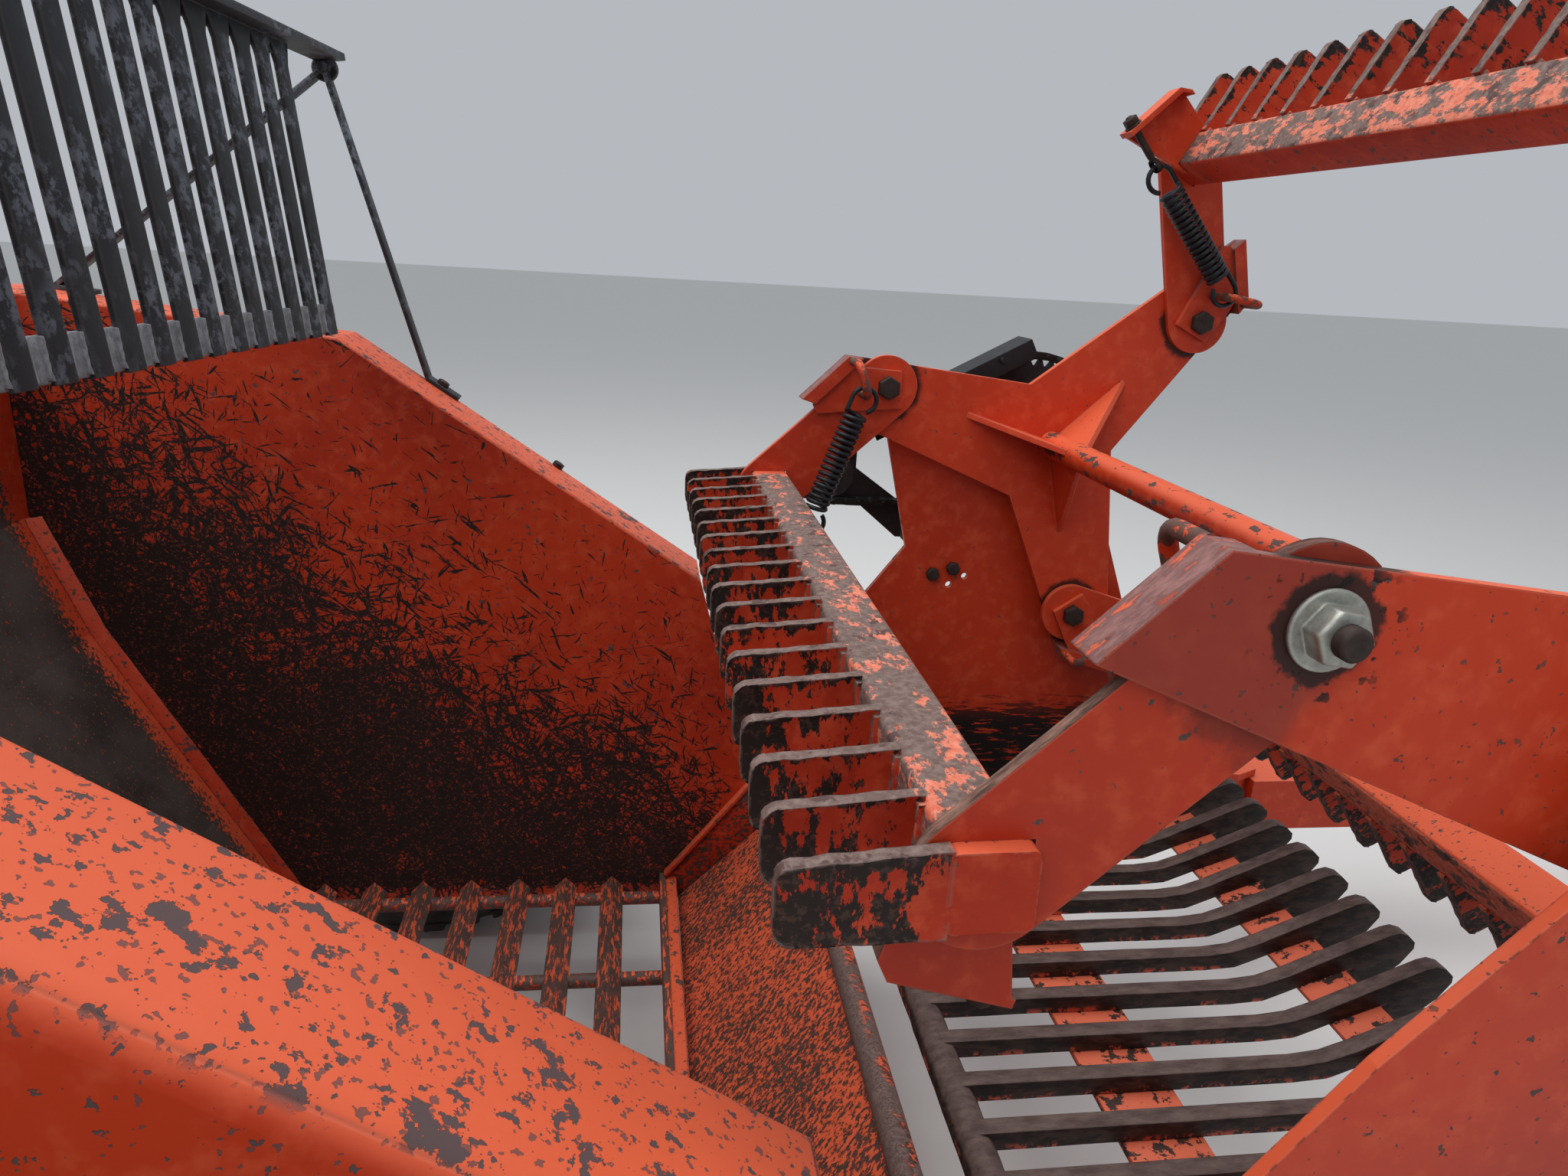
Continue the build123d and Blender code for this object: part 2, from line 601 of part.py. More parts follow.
def strut_head(side):
    """Place on the rail's underside above a rim where the struts meet."""
    y = side * (SKIRT_OUT - STRUT_EDGE)
    along = (SCREEN_FOOT[1] - y) / cos(radians(SCREEN_TURN))
    head = screen_plane().location * Pos(along, SCREEN_HIGH - RAIL_THICK, 0)
    return head.position


def screen_struts():
    """Flat-bar struts from the rail's ends down to pads on the rims."""
    bars = []
    for side in (-1, 1):
        head = strut_head(side)
        near = SKIRT_OUT - STRUT_EDGE - STRUT_HALF
        y0, y1 = both(side, near, near + STRUT_THICK)
        rise = tan(radians(SCREEN_LEAN))
        under = [(head.X + run, head.Z - STRUT_SEAT + run * rise) for run in (12.0, -20.0)]
        frame = plate_y([(head.X - 20, head.Z - 30), (head.X + 12, head.Z - 30)] + under, y0, y1)
        for x, front in STRUT_FEET:
            a, b = x - STRUT_HALF, x + STRUT_HALF
            frame += plate_y([(a, rim_height(a) + STRUT_PAD / 2), (b, rim_height(b) + STRUT_PAD / 2),
                              (head.X + front, head.Z - 12), (head.X + front - 22, head.Z - 12)], y0, y1)
            x0, x1 = x - 34, x + 34
            frame += plate_y([(x0, rim_height(x0)), (x1, rim_height(x1)), (x1, rim_height(x1) + STRUT_PAD),
                              (x0, rim_height(x0) + STRUT_PAD)], *both(side, SKIRT_OUT - 2 * STRUT_EDGE, SKIRT_OUT - 2))
        bars.append(frame)
    return Compound(bars)


# Chassis

BEAM_TAIL = 50.0
BEAM_REAR = DUMP_PIVOT[0] - BEAM_TAIL
BEAM_FRONT = -400.0


def main_beam(side):
    y0, y1 = both(side, BEAM_IN, BEAM_OUT)
    beam = box(BEAM_REAR, BEAM_FRONT, y0, y1, BEAM_BOTTOM, BEAM_TOP)
    return beam


def rear_cross_tube():
    pivot_x, pivot_z = DUMP_PIVOT
    tube = box(pivot_x - 50, pivot_x + 50, -BEAM_IN, BEAM_IN, BEAM_BOTTOM, BEAM_TOP)
    for y in (-500.0, 500.0):
        for shift in (-40.0, 40.0):
            ear = plate_y([(pivot_x - 50, BEAM_TOP), (pivot_x + 50, BEAM_TOP), (pivot_x + 45, pivot_z + 20),
                           (pivot_x + 20, pivot_z + 48), (pivot_x - 20, pivot_z + 48), (pivot_x - 45, pivot_z + 20)],
                          y + shift - 8, y + shift + 8)
            tube += ear - cyl_y(DUMP_PIVOT[0], DUMP_PIVOT[1], 25, y - 60, y + 60)
        tube += cyl_y(DUMP_PIVOT[0], DUMP_PIVOT[1], 25, y - 60, y + 60)
    return tube


def spindle(side):
    y0, y1 = both(side, BEAM_OUT, BEAM_OUT + 25)
    leg = plate_y([(AXLE_X - 170, BEAM_BOTTOM), (AXLE_X + 170, BEAM_BOTTOM), (AXLE_X + 70, AXLE_Z + 70),
                   (AXLE_X - 70, AXLE_Z + 70)], y0, y1)
    s0, s1 = both(side, BEAM_OUT + 25, TYRE_MID + 80)
    h0, h1 = both(side, BEAM_OUT + 25, TYRE_IN + 20)
    return leg + cyl_y(AXLE_X, AXLE_Z, SPINDLE_RADIUS, s0, s1) + cyl_y(AXLE_X, AXLE_Z, 55, h0, h1)


def tyre(side):
    half = TYRE_WIDE / 2
    with BuildPart() as made:
        with BuildSketch(Plane.XY) as section:
            with BuildLine():
                p0 = (RIM_RADIUS, -half * 0.80)
                q0 = (RIM_RADIUS + 13, -half * 0.80)
                p1 = (TYRE_RADIUS - 60, -half)
                p2 = (TYRE_RADIUS, -half * 0.72)
                p3 = (TYRE_RADIUS, half * 0.72)
                p4 = (TYRE_RADIUS - 60, half)
                q5 = (RIM_RADIUS + 13, half * 0.80)
                p5 = (RIM_RADIUS, half * 0.80)
                Line(p0, q0)
                ThreePointArc(q0, (RIM_RADIUS + 120, -half * 0.985), p1)
                ThreePointArc(p1, (TYRE_RADIUS - 18, -half * 0.92), p2)
                Line(p2, p3)
                ThreePointArc(p3, (TYRE_RADIUS - 18, half * 0.92), p4)
                ThreePointArc(p4, (RIM_RADIUS + 120, half * 0.985), q5)
                Line(q5, p5)
                Line(p5, p0)
            make_face()
        revolve(axis=Axis.Y)
    return Pos(AXLE_X, side * TYRE_MID, AXLE_Z) * made.part


def wheel(side):
    half = TYRE_WIDE / 2 * 0.80
    x, z = AXLE_X, AXLE_Z
    m = side * TYRE_MID
    drum = cyl_y(x, z, RIM_RADIUS, m - half, m + half) - cyl_y(x, z, RIM_RADIUS - 10, m - half, m + half)
    for s in (-1, 1):
        f0, f1 = sorted((m + s * half, m + s * (half + 10)))
        drum += cyl_y(x, z, RIM_RADIUS + 12, f0, f1) - cyl_y(x, z, RIM_RADIUS - 10, f0, f1)
    d0, d1 = both(side, TYRE_MID + 30, TYRE_MID + 40)
    drum += cyl_y(x, z, RIM_RADIUS - 5, d0, d1)
    b0, b1 = both(side, TYRE_IN + 50, TYRE_MID + 90)
    drum += cyl_y(x, z, 62, b0, b1)
    c0, c1 = both(side, TYRE_IN + 50, TYRE_MID + 82)
    return drum - cyl_y(x, z, SPINDLE_RADIUS + FIT, c0, c1)


# Tongue, draw arm and jack

LIFT_PIN_RADIUS = 25.0
LIFT_BOSS = 50.0
SWING_PIN_RADIUS = 30.0
TONGUE_HALF = TONGUE_BOX / 2
TONGUE_WALL = 8.0
EAR_THICK = 16.0
LUG_THICK = 8.0
DRAW_IN = BEAM_IN + 6.0
DRAW_OUT = BEAM_OUT - 12.0
LIFT_LUG = (330.0, -600.0)
SWING_BASE = (500.0, 900.0)
SWING_EYE = (1150.0, 860.0)
CYLINDER_EYE = 22.0
EYE_GAP = 2.0
JACK_X = 1900.0
JACK_RADIUS = 32.0
JACK_PIN_RADIUS = 20.0
JACK_TOP = -590.0


def hinge_ears():
    """Ears in front of the left beam that carry the draw arm's pin."""
    px, pz = LIFT_PIN
    ears = box(BEAM_FRONT, BEAM_FRONT + 10, BEAM_IN, BEAM_OUT, BEAM_BOTTOM, BEAM_TOP)
    for y in (BEAM_IN, BEAM_OUT - EAR_THICK):
        ears += plate_y([(BEAM_FRONT, BEAM_BOTTOM + 5), (BEAM_FRONT + 40, BEAM_BOTTOM + 30), (px + 45, pz - 40),
                         (px + 55, pz), (px + 45, pz + 40), (px, pz + 57), (px - 50, pz + 45),
                         (BEAM_FRONT, BEAM_TOP + 10)], y, y + EAR_THICK)
    return ears + cyl_y(px, pz, LIFT_PIN_RADIUS, BEAM_IN, BEAM_OUT)


def draw_arm():
    """Arm beside the left side plate, from the frame's pin to the tongue's swing pin."""
    px, pz = LIFT_PIN
    y0, y1 = BEAM_IN + EAR_THICK + EYE_GAP, BEAM_OUT - EAR_THICK - EYE_GAP
    low = TONGUE_Z - TONGUE_HALF - 2
    top = TONGUE_Z + TONGUE_HALF + 2
    front = SWING_X - 90
    arm = cyl_y(px, pz, LIFT_BOSS, y0, y1)
    arm += plate_y([(px, pz - LIFT_BOSS), (px + 110, pz - LIFT_BOSS - 15), (px + 110, pz + LIFT_BOSS - 15),
                    (px, pz + LIFT_BOSS)], y0, y1)
    arm += plate_y([(px + 75, pz - LIFT_BOSS - 12), (front, low - EAR_THICK), (front + 20, low - EAR_THICK),
                    (front + 20, top + EAR_THICK), (front, top + EAR_THICK), (px + 75, pz + LIFT_BOSS - 12)],
                   DRAW_IN, DRAW_OUT)
    for z in (low - EAR_THICK, top):
        arm += plate_z([(front, DRAW_IN), (SWING_X, BEAM_MID - 60), (SWING_X + 55, BEAM_MID - 35),
                        (SWING_X + 55, BEAM_MID + 35), (SWING_X, BEAM_MID + 60), (front, DRAW_OUT)],
                       z, z + EAR_THICK)
    lx, lz = LIFT_LUG
    for y in (DUMP_Y - CYLINDER_EYE - EYE_GAP - LUG_THICK, DUMP_Y + CYLINDER_EYE + EYE_GAP):
        arm += plate_y([(lx - 70, top - 20), (lx + 60, top - 20), (lx + 28, lz + 5), (lx, lz + 30), (lx - 28, lz + 5)],
                       y, y + LUG_THICK)
    bx, by = SWING_BASE
    for z in (TONGUE_Z - 40, TONGUE_Z + 24):
        arm += plate_z([(front - 40, DRAW_OUT - 5), (front + 10, DRAW_OUT - 5), (bx + 32, by),
                        (bx + 15, by + 30), (bx - 15, by + 30), (bx - 32, by)], z, z + EAR_THICK)
    arm += cyl_z(bx, by, PIN_RADIUS, TONGUE_Z - 45, TONGUE_Z + 45)
    arm -= cyl_y(px, pz, LIFT_PIN_RADIUS + FIT, y0, y1)
    return arm + cyl_z(SWING_X, BEAM_MID, SWING_PIN_RADIUS, low - EAR_THICK - 12, top + EAR_THICK + 12)


def tongue():
    z0, z1 = TONGUE_Z - TONGUE_HALF, TONGUE_Z + TONGUE_HALF
    m = BEAM_MID
    end = HITCH_X - 190
    beam = box(SWING_X + 40, end, m - TONGUE_HALF, m + TONGUE_HALF, z0, z1)
    beam -= box(SWING_X + 80, end - 8, m - TONGUE_HALF + TONGUE_WALL, m + TONGUE_HALF - TONGUE_WALL,
                z0 + TONGUE_WALL, z1 - TONGUE_WALL)
    beam += cyl_z(SWING_X, m, TONGUE_HALF - 12, z0, z1)
    t = HITCH_EYE_THICK / 2
    eye = plate_z([(end - 10, m - 60), (end + 60, m - 60), (HITCH_X, m - 50), (HITCH_X + 45, m - 30),
                   (HITCH_X + 45, m + 30), (HITCH_X, m + 50), (end + 60, m + 60), (end - 10, m + 60)],
                  TONGUE_Z - t, TONGUE_Z + t)
    gusset = plate_y([(end, TONGUE_Z + t), (end + 110, TONGUE_Z + t), (end, z1)], m - 6, m + 6)
    gusset += plate_y([(end, TONGUE_Z - t), (end + 110, TONGUE_Z - t), (end, z0)], m - 6, m + 6)
    sx, sy = SWING_EYE
    for z in (TONGUE_Z - 40, TONGUE_Z + 28):
        eye += plate_z([(sx - 60, m + TONGUE_HALF), (sx + 60, m + TONGUE_HALF), (sx + 28, sy), (sx + 14, sy + 26),
                        (sx - 14, sy + 26), (sx - 28, sy)], z, z + 12)
    eye -= cyl_z(HITCH_X, m, HITCH_EYE_RADIUS, TONGUE_Z - t, TONGUE_Z + t)
    side = m + TONGUE_HALF
    mount = cyl_y(JACK_X, TONGUE_Z, 40, side, side + 34)
    mount += cyl_y(JACK_X, TONGUE_Z, JACK_PIN_RADIUS, side + 34, side + 34 + 45)
    return beam + eye + gusset + mount - cyl_z(SWING_X, m, SWING_PIN_RADIUS + FIT, z0, z1)


def jack():
    """Parking jack that folds up beside the tongue on its side pin."""
    side = BEAM_MID + TONGUE_HALF + 35
    y = side + 45 + JACK_RADIUS
    tube = cyl_z(JACK_X, y, JACK_RADIUS, TONGUE_Z - 190, JACK_TOP)
    tube += cyl_z(JACK_X, y, JACK_RADIUS - 6, GROUND + 12, TONGUE_Z - 190)
    tube += cyl_z(JACK_X, y, JACK_RADIUS + 6, JACK_TOP, JACK_TOP + 20)
    tube += cyl_y(JACK_X, TONGUE_Z, 40, side, y - 10)
    tube += cyl_z(JACK_X, y, 90, GROUND, GROUND + 12)
    tube += cyl_y(JACK_X, JACK_TOP + 8, 10, y, y + 112) + cyl_z(JACK_X, y + 98, 8, JACK_TOP - 90, JACK_TOP + 8)
    return tube - cyl_y(JACK_X, TONGUE_Z, JACK_PIN_RADIUS + FIT, side, side + 45)


def cylinder(start, end, radius, rod_radius, barrel_share, pin_axis, stroke_in=0.0):
    """Barrel and rod of a hydraulic cylinder between two pins, with room for the rod to draw in."""
    a, b = Vector(*start), Vector(*end)
    way = (b - a).normalized()
    span = (b - a).length
    barrel_end = a + way * (span * barrel_share)
    barrel = rod(tuple(a + way * 62), tuple(barrel_end), radius) + rod(tuple(a + way * 25), tuple(a + way * 62), 22)
    stem = rod(tuple(a + way * (82 + stroke_in)), tuple(b - way * 30), rod_radius)
    barrel -= rod(tuple(a + way * 74), tuple(barrel_end), rod_radius + 4)
    cap = rod(tuple(barrel_end - way * 30), tuple(barrel_end), radius) - rod(
        tuple(barrel_end - way * 30), tuple(barrel_end), rod_radius + FIT)
    ends = []
    for centre in (a, b):
        low = centre - Vector(*pin_axis) * CYLINDER_EYE
        high = centre + Vector(*pin_axis) * CYLINDER_EYE
        ends.append(rod(tuple(low), tuple(high), 34))
    bore = rod(tuple(a - Vector(*pin_axis) * CYLINDER_EYE), tuple(a + Vector(*pin_axis) * CYLINDER_EYE),
               PIN_RADIUS + FIT)
    return barrel + cap + ends[0] - bore, stem + ends[1]


DUMP_BASE = (-430.0, -700.0)
DUMP_EYE = (-1300.0, -580.0)
MAST_PIN = (-380.0, -480.0)
MAST_FOOT = {
    -1: [(-500.0, BEAM_TOP), (-402.0, BEAM_TOP), (-394.0, -690.0), (-412.0, -668.0), (-448.0, -668.0),
         (-464.0, -690.0)],
    1: [(-500.0, BEAM_TOP), (-402.0, BEAM_TOP), (-392.0, -700.0), (-345.0, -490.0), (-355.0, -452.0),
        (-405.0, -452.0), (-418.0, -490.0), (-470.0, -690.0)],
}


def dump_brackets():
    """Ears on the beams for the dump cylinders; the left pair also carries the lift cylinder."""
    made = []
    for side in (-1, 1):
        mid = side * DUMP_Y
        half = CYLINDER_EYE + EYE_GAP
        piece = plate_y(MAST_FOOT[side], mid - half - 12, mid - half)
        piece += plate_y(MAST_FOOT[side], mid + half, mid + half + 12)
        pins = [DUMP_BASE] if side < 0 else [DUMP_BASE, MAST_PIN]
        for x, z in pins:
            piece += cyl_y(x, z, PIN_RADIUS, mid - half - 12, mid + half + 12)
        made.append(piece)
    return Compound(made)


def dump_eyes():
    """Bosses on the hopper's walls beside the dump cylinders' rods."""
    ex, ez = DUMP_EYE
    face = DUMP_Y - CYLINDER_EYE - EYE_GAP
    return Compound([cyl_y(ex, ez, 55, *both(side, WALL_OUT, face)) for side in (-1, 1)])


def drive_motor():
    """Hydraulic motor on a plate that stands off the left side plate."""
    face = SPROCKET_Y + SPROCKET_THICK + 14
    body = cyl_y(DRIVE_X, DRIVE_Z, 52, face + MOTOR_PLATE, face + MOTOR_PLATE + 110)
    body += box(DRIVE_X - 55, DRIVE_X + 55, face, face + MOTOR_PLATE + 14, DRIVE_Z - 55, DRIVE_Z + 55)
    body += box(DRIVE_X - 34, DRIVE_X + 34, face + 40, face + 90, DRIVE_Z + 40, DRIVE_Z + 82)
    body += plate_y([(DRIVE_X + 55, DRIVE_Z + 10), (DRIVE_X + 55, DRIVE_Z - 55), (-245, -225), (-200, -225),
                     (-200, -180)], face, face + MOTOR_PLATE)
    body += box(-238, -200, SIDE_OUT, face, -222, -184)
    body += cyl_y(DRIVE_X, DRIVE_Z, 20, SPROCKET_Y - 6, face)
    return body + cyl_y(DRIVE_X, DRIVE_Z, DRIVE_RADIUS, SPROCKET_Y, SPROCKET_Y + SPROCKET_THICK)


def chain_guard():
    """Channel over the chain's upper run, open to the machine's middle."""
    run = (Vector(*GUARD_HIGH) - Vector(*GUARD_LOW)).normalized()
    down = Vector(run.Y, -run.X)
    low, high = Vector(*GUARD_LOW), Vector(*GUARD_HIGH)

    def strip(deep):
        ends = [low, high, high + down * deep, low + down * deep]
        return [(p.X, p.Y) for p in ends]

    outside = SPROCKET_Y + SPROCKET_THICK + 10
    case = plate_y(strip(GUARD_WALL), SIDE_OUT + GUARD_STAND, outside)
    case += plate_y(strip(GUARD_DEEP), outside - GUARD_WALL, outside)
    case += plate_y(strip(GUARD_DEEP * 0.6), SIDE_OUT + GUARD_STAND, SIDE_OUT + GUARD_STAND + GUARD_WALL)
    for share in GUARD_STUDS:
        stud = low + (high - low) * share + down * GUARD_STUD_DROP
        case += cyl_y(stud.X, stud.Y, GUARD_STUD_RADIUS, SIDE_OUT, outside)
    return case


for side, word in ((1, "left"), (-1, "right")):
    write(f"spider_{word}", spider(side))
    write(f"side_plate_{word}", side_plate(side))
    write(f"reel_bearing_{word}", bearing(side))
    write(f"hopper_wall_{word}", wall(side))
    write(f"main_beam_{word}", main_beam(side))
    write(f"spindle_{word}", spindle(side))
    write(f"tyre_{word}", tyre(side))
    write(f"wheel_{word}", wheel(side))
for arm in range(BAT_COUNT):
    write(f"bat_{arm + 1}", bat(arm))
write("bat_arms", bat_arms())
write("bat_bolts", bat_bolts())
coils, rings = springs()
write("bat_springs", coils)
write("spring_rods", rings)
write("reel_shaft", reel_shaft())
write("reel_sprocket", sprocket())
write("drive_chain", chain())
write("grate", grate())
write("transfer_lip", lip())
write("hopper_rear", rear_panel())
write("hopper_floor", floor_grate())
write("hopper_lugs", pivot_lugs())
write("screen", screen())
write("screen_struts", screen_struts())
write("rear_cross_tube", rear_cross_tube())
write("hinge_ears", hinge_ears())
write("draw_arm", draw_arm())
write("tongue", tongue())
write("dump_brackets", dump_brackets())
write("dump_eyes", dump_eyes())
for side, word in ((1, "left"), (-1, "right")):
    foot = (DUMP_BASE[0], side * DUMP_Y, DUMP_BASE[1])
    eye = (DUMP_EYE[0], side * DUMP_Y, DUMP_EYE[1])
    barrel, stem = cylinder(foot, eye, CYLINDER_RADIUS, CYLINDER_ROD_RADIUS, 0.86, (0, 1, 0))
    write(f"dump_barrel_{word}", barrel)
    write(f"dump_rod_{word}", stem)
barrel, stem = cylinder((MAST_PIN[0], DUMP_Y, MAST_PIN[1]), (LIFT_LUG[0], DUMP_Y, LIFT_LUG[1]),
                        CYLINDER_RADIUS - 12, CYLINDER_ROD_RADIUS - 3, 0.72, (0, 1, 0), LIFT_STROKE)
write("lift_barrel", barrel)
write("lift_rod", stem)
barrel, stem = cylinder((*SWING_BASE, TONGUE_Z), (*SWING_EYE, TONGUE_Z), CYLINDER_RADIUS - 12,
                        CYLINDER_ROD_RADIUS - 3, 0.70, (0, 0, 1), SWING_STROKE)
write("swing_barrel", barrel)
write("swing_rod", stem)
write("jack", jack())
write("drive_motor", drive_motor())
write("chain_guard", chain_guard())
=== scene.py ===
import json
from math import asin, atan2, cos, hypot, pi, radians, sin

import bmesh
import bpy
from mathutils import Matrix, Vector


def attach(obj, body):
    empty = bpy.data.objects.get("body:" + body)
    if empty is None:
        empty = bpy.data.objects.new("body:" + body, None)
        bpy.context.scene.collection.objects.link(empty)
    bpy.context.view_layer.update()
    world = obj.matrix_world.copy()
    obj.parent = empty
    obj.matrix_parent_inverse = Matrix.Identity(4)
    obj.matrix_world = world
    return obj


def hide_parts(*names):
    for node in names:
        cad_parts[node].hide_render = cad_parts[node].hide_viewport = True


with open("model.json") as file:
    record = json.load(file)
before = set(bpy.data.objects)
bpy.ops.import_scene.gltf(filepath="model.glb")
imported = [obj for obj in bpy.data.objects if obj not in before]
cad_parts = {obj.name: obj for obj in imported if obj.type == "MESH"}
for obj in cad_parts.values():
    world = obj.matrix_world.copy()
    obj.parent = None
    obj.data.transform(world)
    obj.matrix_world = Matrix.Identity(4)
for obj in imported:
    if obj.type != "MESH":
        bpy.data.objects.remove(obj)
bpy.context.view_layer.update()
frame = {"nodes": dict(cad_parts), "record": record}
nodes = frame["nodes"]

# The stone picker stands with its hitch eye at zero, X forward, Y to its left and Z up, in metres.
# The reel's axis crosses the middle of the machine here, and most places are given from there.
REEL = Vector((-3.0, -0.748, 0.805))
FLOOR_Z = REEL.z - 1.215
# The machine's sides: sign of Y and word
SIDES = ((1, "left"), (-1, "right"))
# Turn that lays a piece modelled on Z down along Y
ON_Y = Matrix.Rotation(pi / 2, 4, "X")

# Camera at the photograph's place, given from the reel's middle
CAMERA_FROM_REEL = Vector((-0.7782, -1.2400, 0.3075))
CAMERA_YAW = radians(8.7177)
CAMERA_PITCH = radians(17.4976)
CAMERA_ROLL = radians(3.3922)
CAMERA_LENS = 24.083
SENSOR = 36.0

# Reel: arms round its axis, and planes across it, from the middle outwards
ARM_COUNT = 3
FIRST_ARM = radians(163.8)
PIVOT_OUT = 0.3405
PIVOT_SEAT = 0.614
STOP_FACE = 0.606
SPIDER_OUT = 0.648
FINGER_TURN = radians(17.1)
# Bats: middle of the tube out along and across its arm, and half its width and length
BAT_AT = (0.4835, 0.241)
TUBE_HALF = 0.032
BAT_HALF = 0.6515


def at(x, y, z):
    """Place given from the reel's middle."""
    return REEL + Vector((x, y, z))


def arm_way(out, across, arm):
    """Direction given along and across one arm of the reel."""
    angle = FIRST_ARM + arm * 2 * pi / ARM_COUNT
    return Vector((out * cos(angle) - across * sin(angle), 0.0, out * sin(angle) + across * cos(angle)))


def on_arm(out, across, arm, y):
    """Place given along and across one arm, and to the left of the reel's middle."""
    return at(0.0, y, 0.0) + arm_way(out, across, arm)


def bat_frame(arm):
    """Angle of a bat's fingers, and the directions out along them and up across them."""
    angle = FIRST_ARM + arm * 2 * pi / ARM_COUNT + FINGER_TURN
    return angle, Vector((cos(angle), 0.0, sin(angle))), Vector((-sin(angle), 0.0, cos(angle)))


# Modelling by hand: the steps that the pieces share

def deselect():
    for thing in bpy.context.selected_objects:
        thing.select_set(False)


def take(piece):
    deselect()
    piece.select_set(True)
    bpy.context.view_layer.objects.active = piece
    return piece


def taken():
    return bpy.context.view_layer.objects.active


def edit(kind="FACE"):
    """Go to edit mode with everything selected."""
    bpy.ops.object.mode_set(mode="EDIT")
    bpy.ops.mesh.select_mode(type=kind)
    bpy.ops.mesh.select_all(action="SELECT")


def pick(kind, test):
    """Select what passes the test: faces by middle and normal, edges by middle and run, points by place."""
    bpy.ops.mesh.select_mode(type=kind)
    bpy.ops.mesh.select_all(action="DESELECT")
    shape = bmesh.from_edit_mesh(taken().data)
    if kind == "FACE":
        for face in shape.faces:
            face.select_set(bool(test(face.calc_center_median(), face.normal)))
    elif kind == "EDGE":
        for edge in shape.edges:
            ends = [vert.co for vert in edge.verts]
            edge.select_set(bool(test((ends[0] + ends[1]) / 2, (ends[1] - ends[0]).normalized())))
    else:
        for vert in shape.verts:
            vert.select_set(bool(test(vert.co)))
    bmesh.update_edit_mesh(taken().data)


def extrude(by):
    bpy.ops.mesh.extrude_region_move(TRANSFORM_OT_translate={"value": by})


def cut_across(places, way):
    """Cut the whole mesh by a plane through each place, square to a direction."""
    for place in places:
        bpy.ops.mesh.select_all(action="SELECT")
        bpy.ops.mesh.bisect(plane_co=place, plane_no=way)
    bpy.ops.mesh.select_all(action="SELECT")


def trace(points):
    """Line of edges through places, drawn out of a plane merged to one point, in edit mode."""
    deselect()
    bpy.ops.mesh.primitive_plane_add(size=0.01)
    edit("VERT")
    bpy.ops.mesh.merge(type="CENTER")
    bpy.ops.transform.translate(value=points[0])
    for start, end in zip(points, points[1:]):
        extrude(end - start)


def leave(close=True):
    """Close open ends, point the faces outwards and leave edit mode."""
    bpy.ops.mesh.select_mode(type="VERT")
    bpy.ops.mesh.select_all(action="SELECT")
    bpy.ops.mesh.remove_doubles(threshold=0.00002)
    if close:
        bpy.ops.mesh.fill_holes(sides=0)
        bpy.ops.mesh.select_all(action="SELECT")
    bpy.ops.mesh.normals_make_consistent(inside=False)
    bpy.ops.object.mode_set(mode="OBJECT")


def still():
    bpy.ops.object.transform_apply(location=True, rotation=True, scale=True)


def smooth(angle=40):
    bpy.ops.object.shade_smooth_by_angle(angle=radians(angle))


def modify(piece, kind, **settings):
    """Give the piece a modifier and apply it."""
    take(piece)
    change = piece.modifiers.new(kind.lower(), kind)
    for name, value in settings.items():
        setattr(change, name, value)
    bpy.ops.object.modifier_apply(modifier=change.name)
    return piece


def soften(piece, width, segments=2, angle=30):
    modify(piece, "BEVEL", width=width, segments=segments, limit_method="ANGLE", angle_limit=radians(angle))
    smooth()
    return piece


def stance(place, along, across=None):
    """Matrix that sets a piece modelled round zero on Z down at a place, along a line."""
    up = Vector(along).normalized()
    side = Vector(across) if across else up.orthogonal()
    side = (side - up * side.dot(up)).normalized()
    turn = Matrix((side, up.cross(side), up)).transposed().to_4x4()
    return Matrix.Translation(Vector(place)) @ turn


def twin_of(model, matrix):
    """Copy of a model with its own mesh, set down."""
    twin = model.copy()
    twin.data = model.data.copy()
    twin.data.transform(matrix)
    bpy.context.scene.collection.objects.link(twin)
    return twin


def copies(model, stances, name):
    """Copies of one model, set down and joined."""
    made = [twin_of(model, matrix) for matrix in stances]
    bpy.data.objects.remove(model)
    return join(made, name)


def cut_plate(points, y, thick):
    """Flat plate cut to an outline given as x and z from the reel, from y to the left by its thickness."""
    trace([at(x, y, z) for x, z in points])
    bpy.ops.mesh.select_all(action="SELECT")
    bpy.ops.mesh.edge_face_add()
    bpy.ops.mesh.select_mode(type="FACE")
    bpy.ops.mesh.select_all(action="SELECT")
    extrude((0, thick, 0))
    leave(False)
    return taken()


def join(pieces, name):
    deselect()
    for piece in pieces:
        piece.select_set(True)
    bpy.context.view_layer.objects.active = pieces[0]
    if len(pieces) > 1:
        bpy.ops.object.join()
    whole = taken()
    whole.name = name
    return whole


def finished(piece, finish, body, slot, *stands_for):
    """Give a piece its finish, its body and the nodes that it stands for."""
    piece.data.materials.clear()
    piece.data.materials.append(finish)
    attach(piece, body)
    if stands_for:
        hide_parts(*stands_for)
    return piece


def bent_bar(start, heading, radius, steps, sides=12):
    """Round bar bent by hand: a step is a run's length, or a bend's centre from here, axis and degrees."""
    deselect()
    here, way = Vector(start), Vector(heading).normalized()
    bpy.ops.mesh.primitive_circle_add(vertices=sides, radius=radius, location=here,
                                      rotation=way.to_track_quat("Z", "Y").to_euler())
    still()
    edit("EDGE")
    for step in steps:
        if isinstance(step, float):
            extrude(way * step)
            here = here + way * step
        else:
            from_here, axis, degrees = step
            centre, axis, turn = here + Vector(from_here), Vector(axis).normalized(), radians(degrees)
            bpy.ops.mesh.spin(steps=max(3, int(abs(degrees) / 15)), angle=-turn, center=centre, axis=axis)
            spun = Matrix.Rotation(turn, 3, axis)
            here = centre + spun @ (here - centre)
            way = spun @ way
    leave()
    smooth(50)
    return taken()


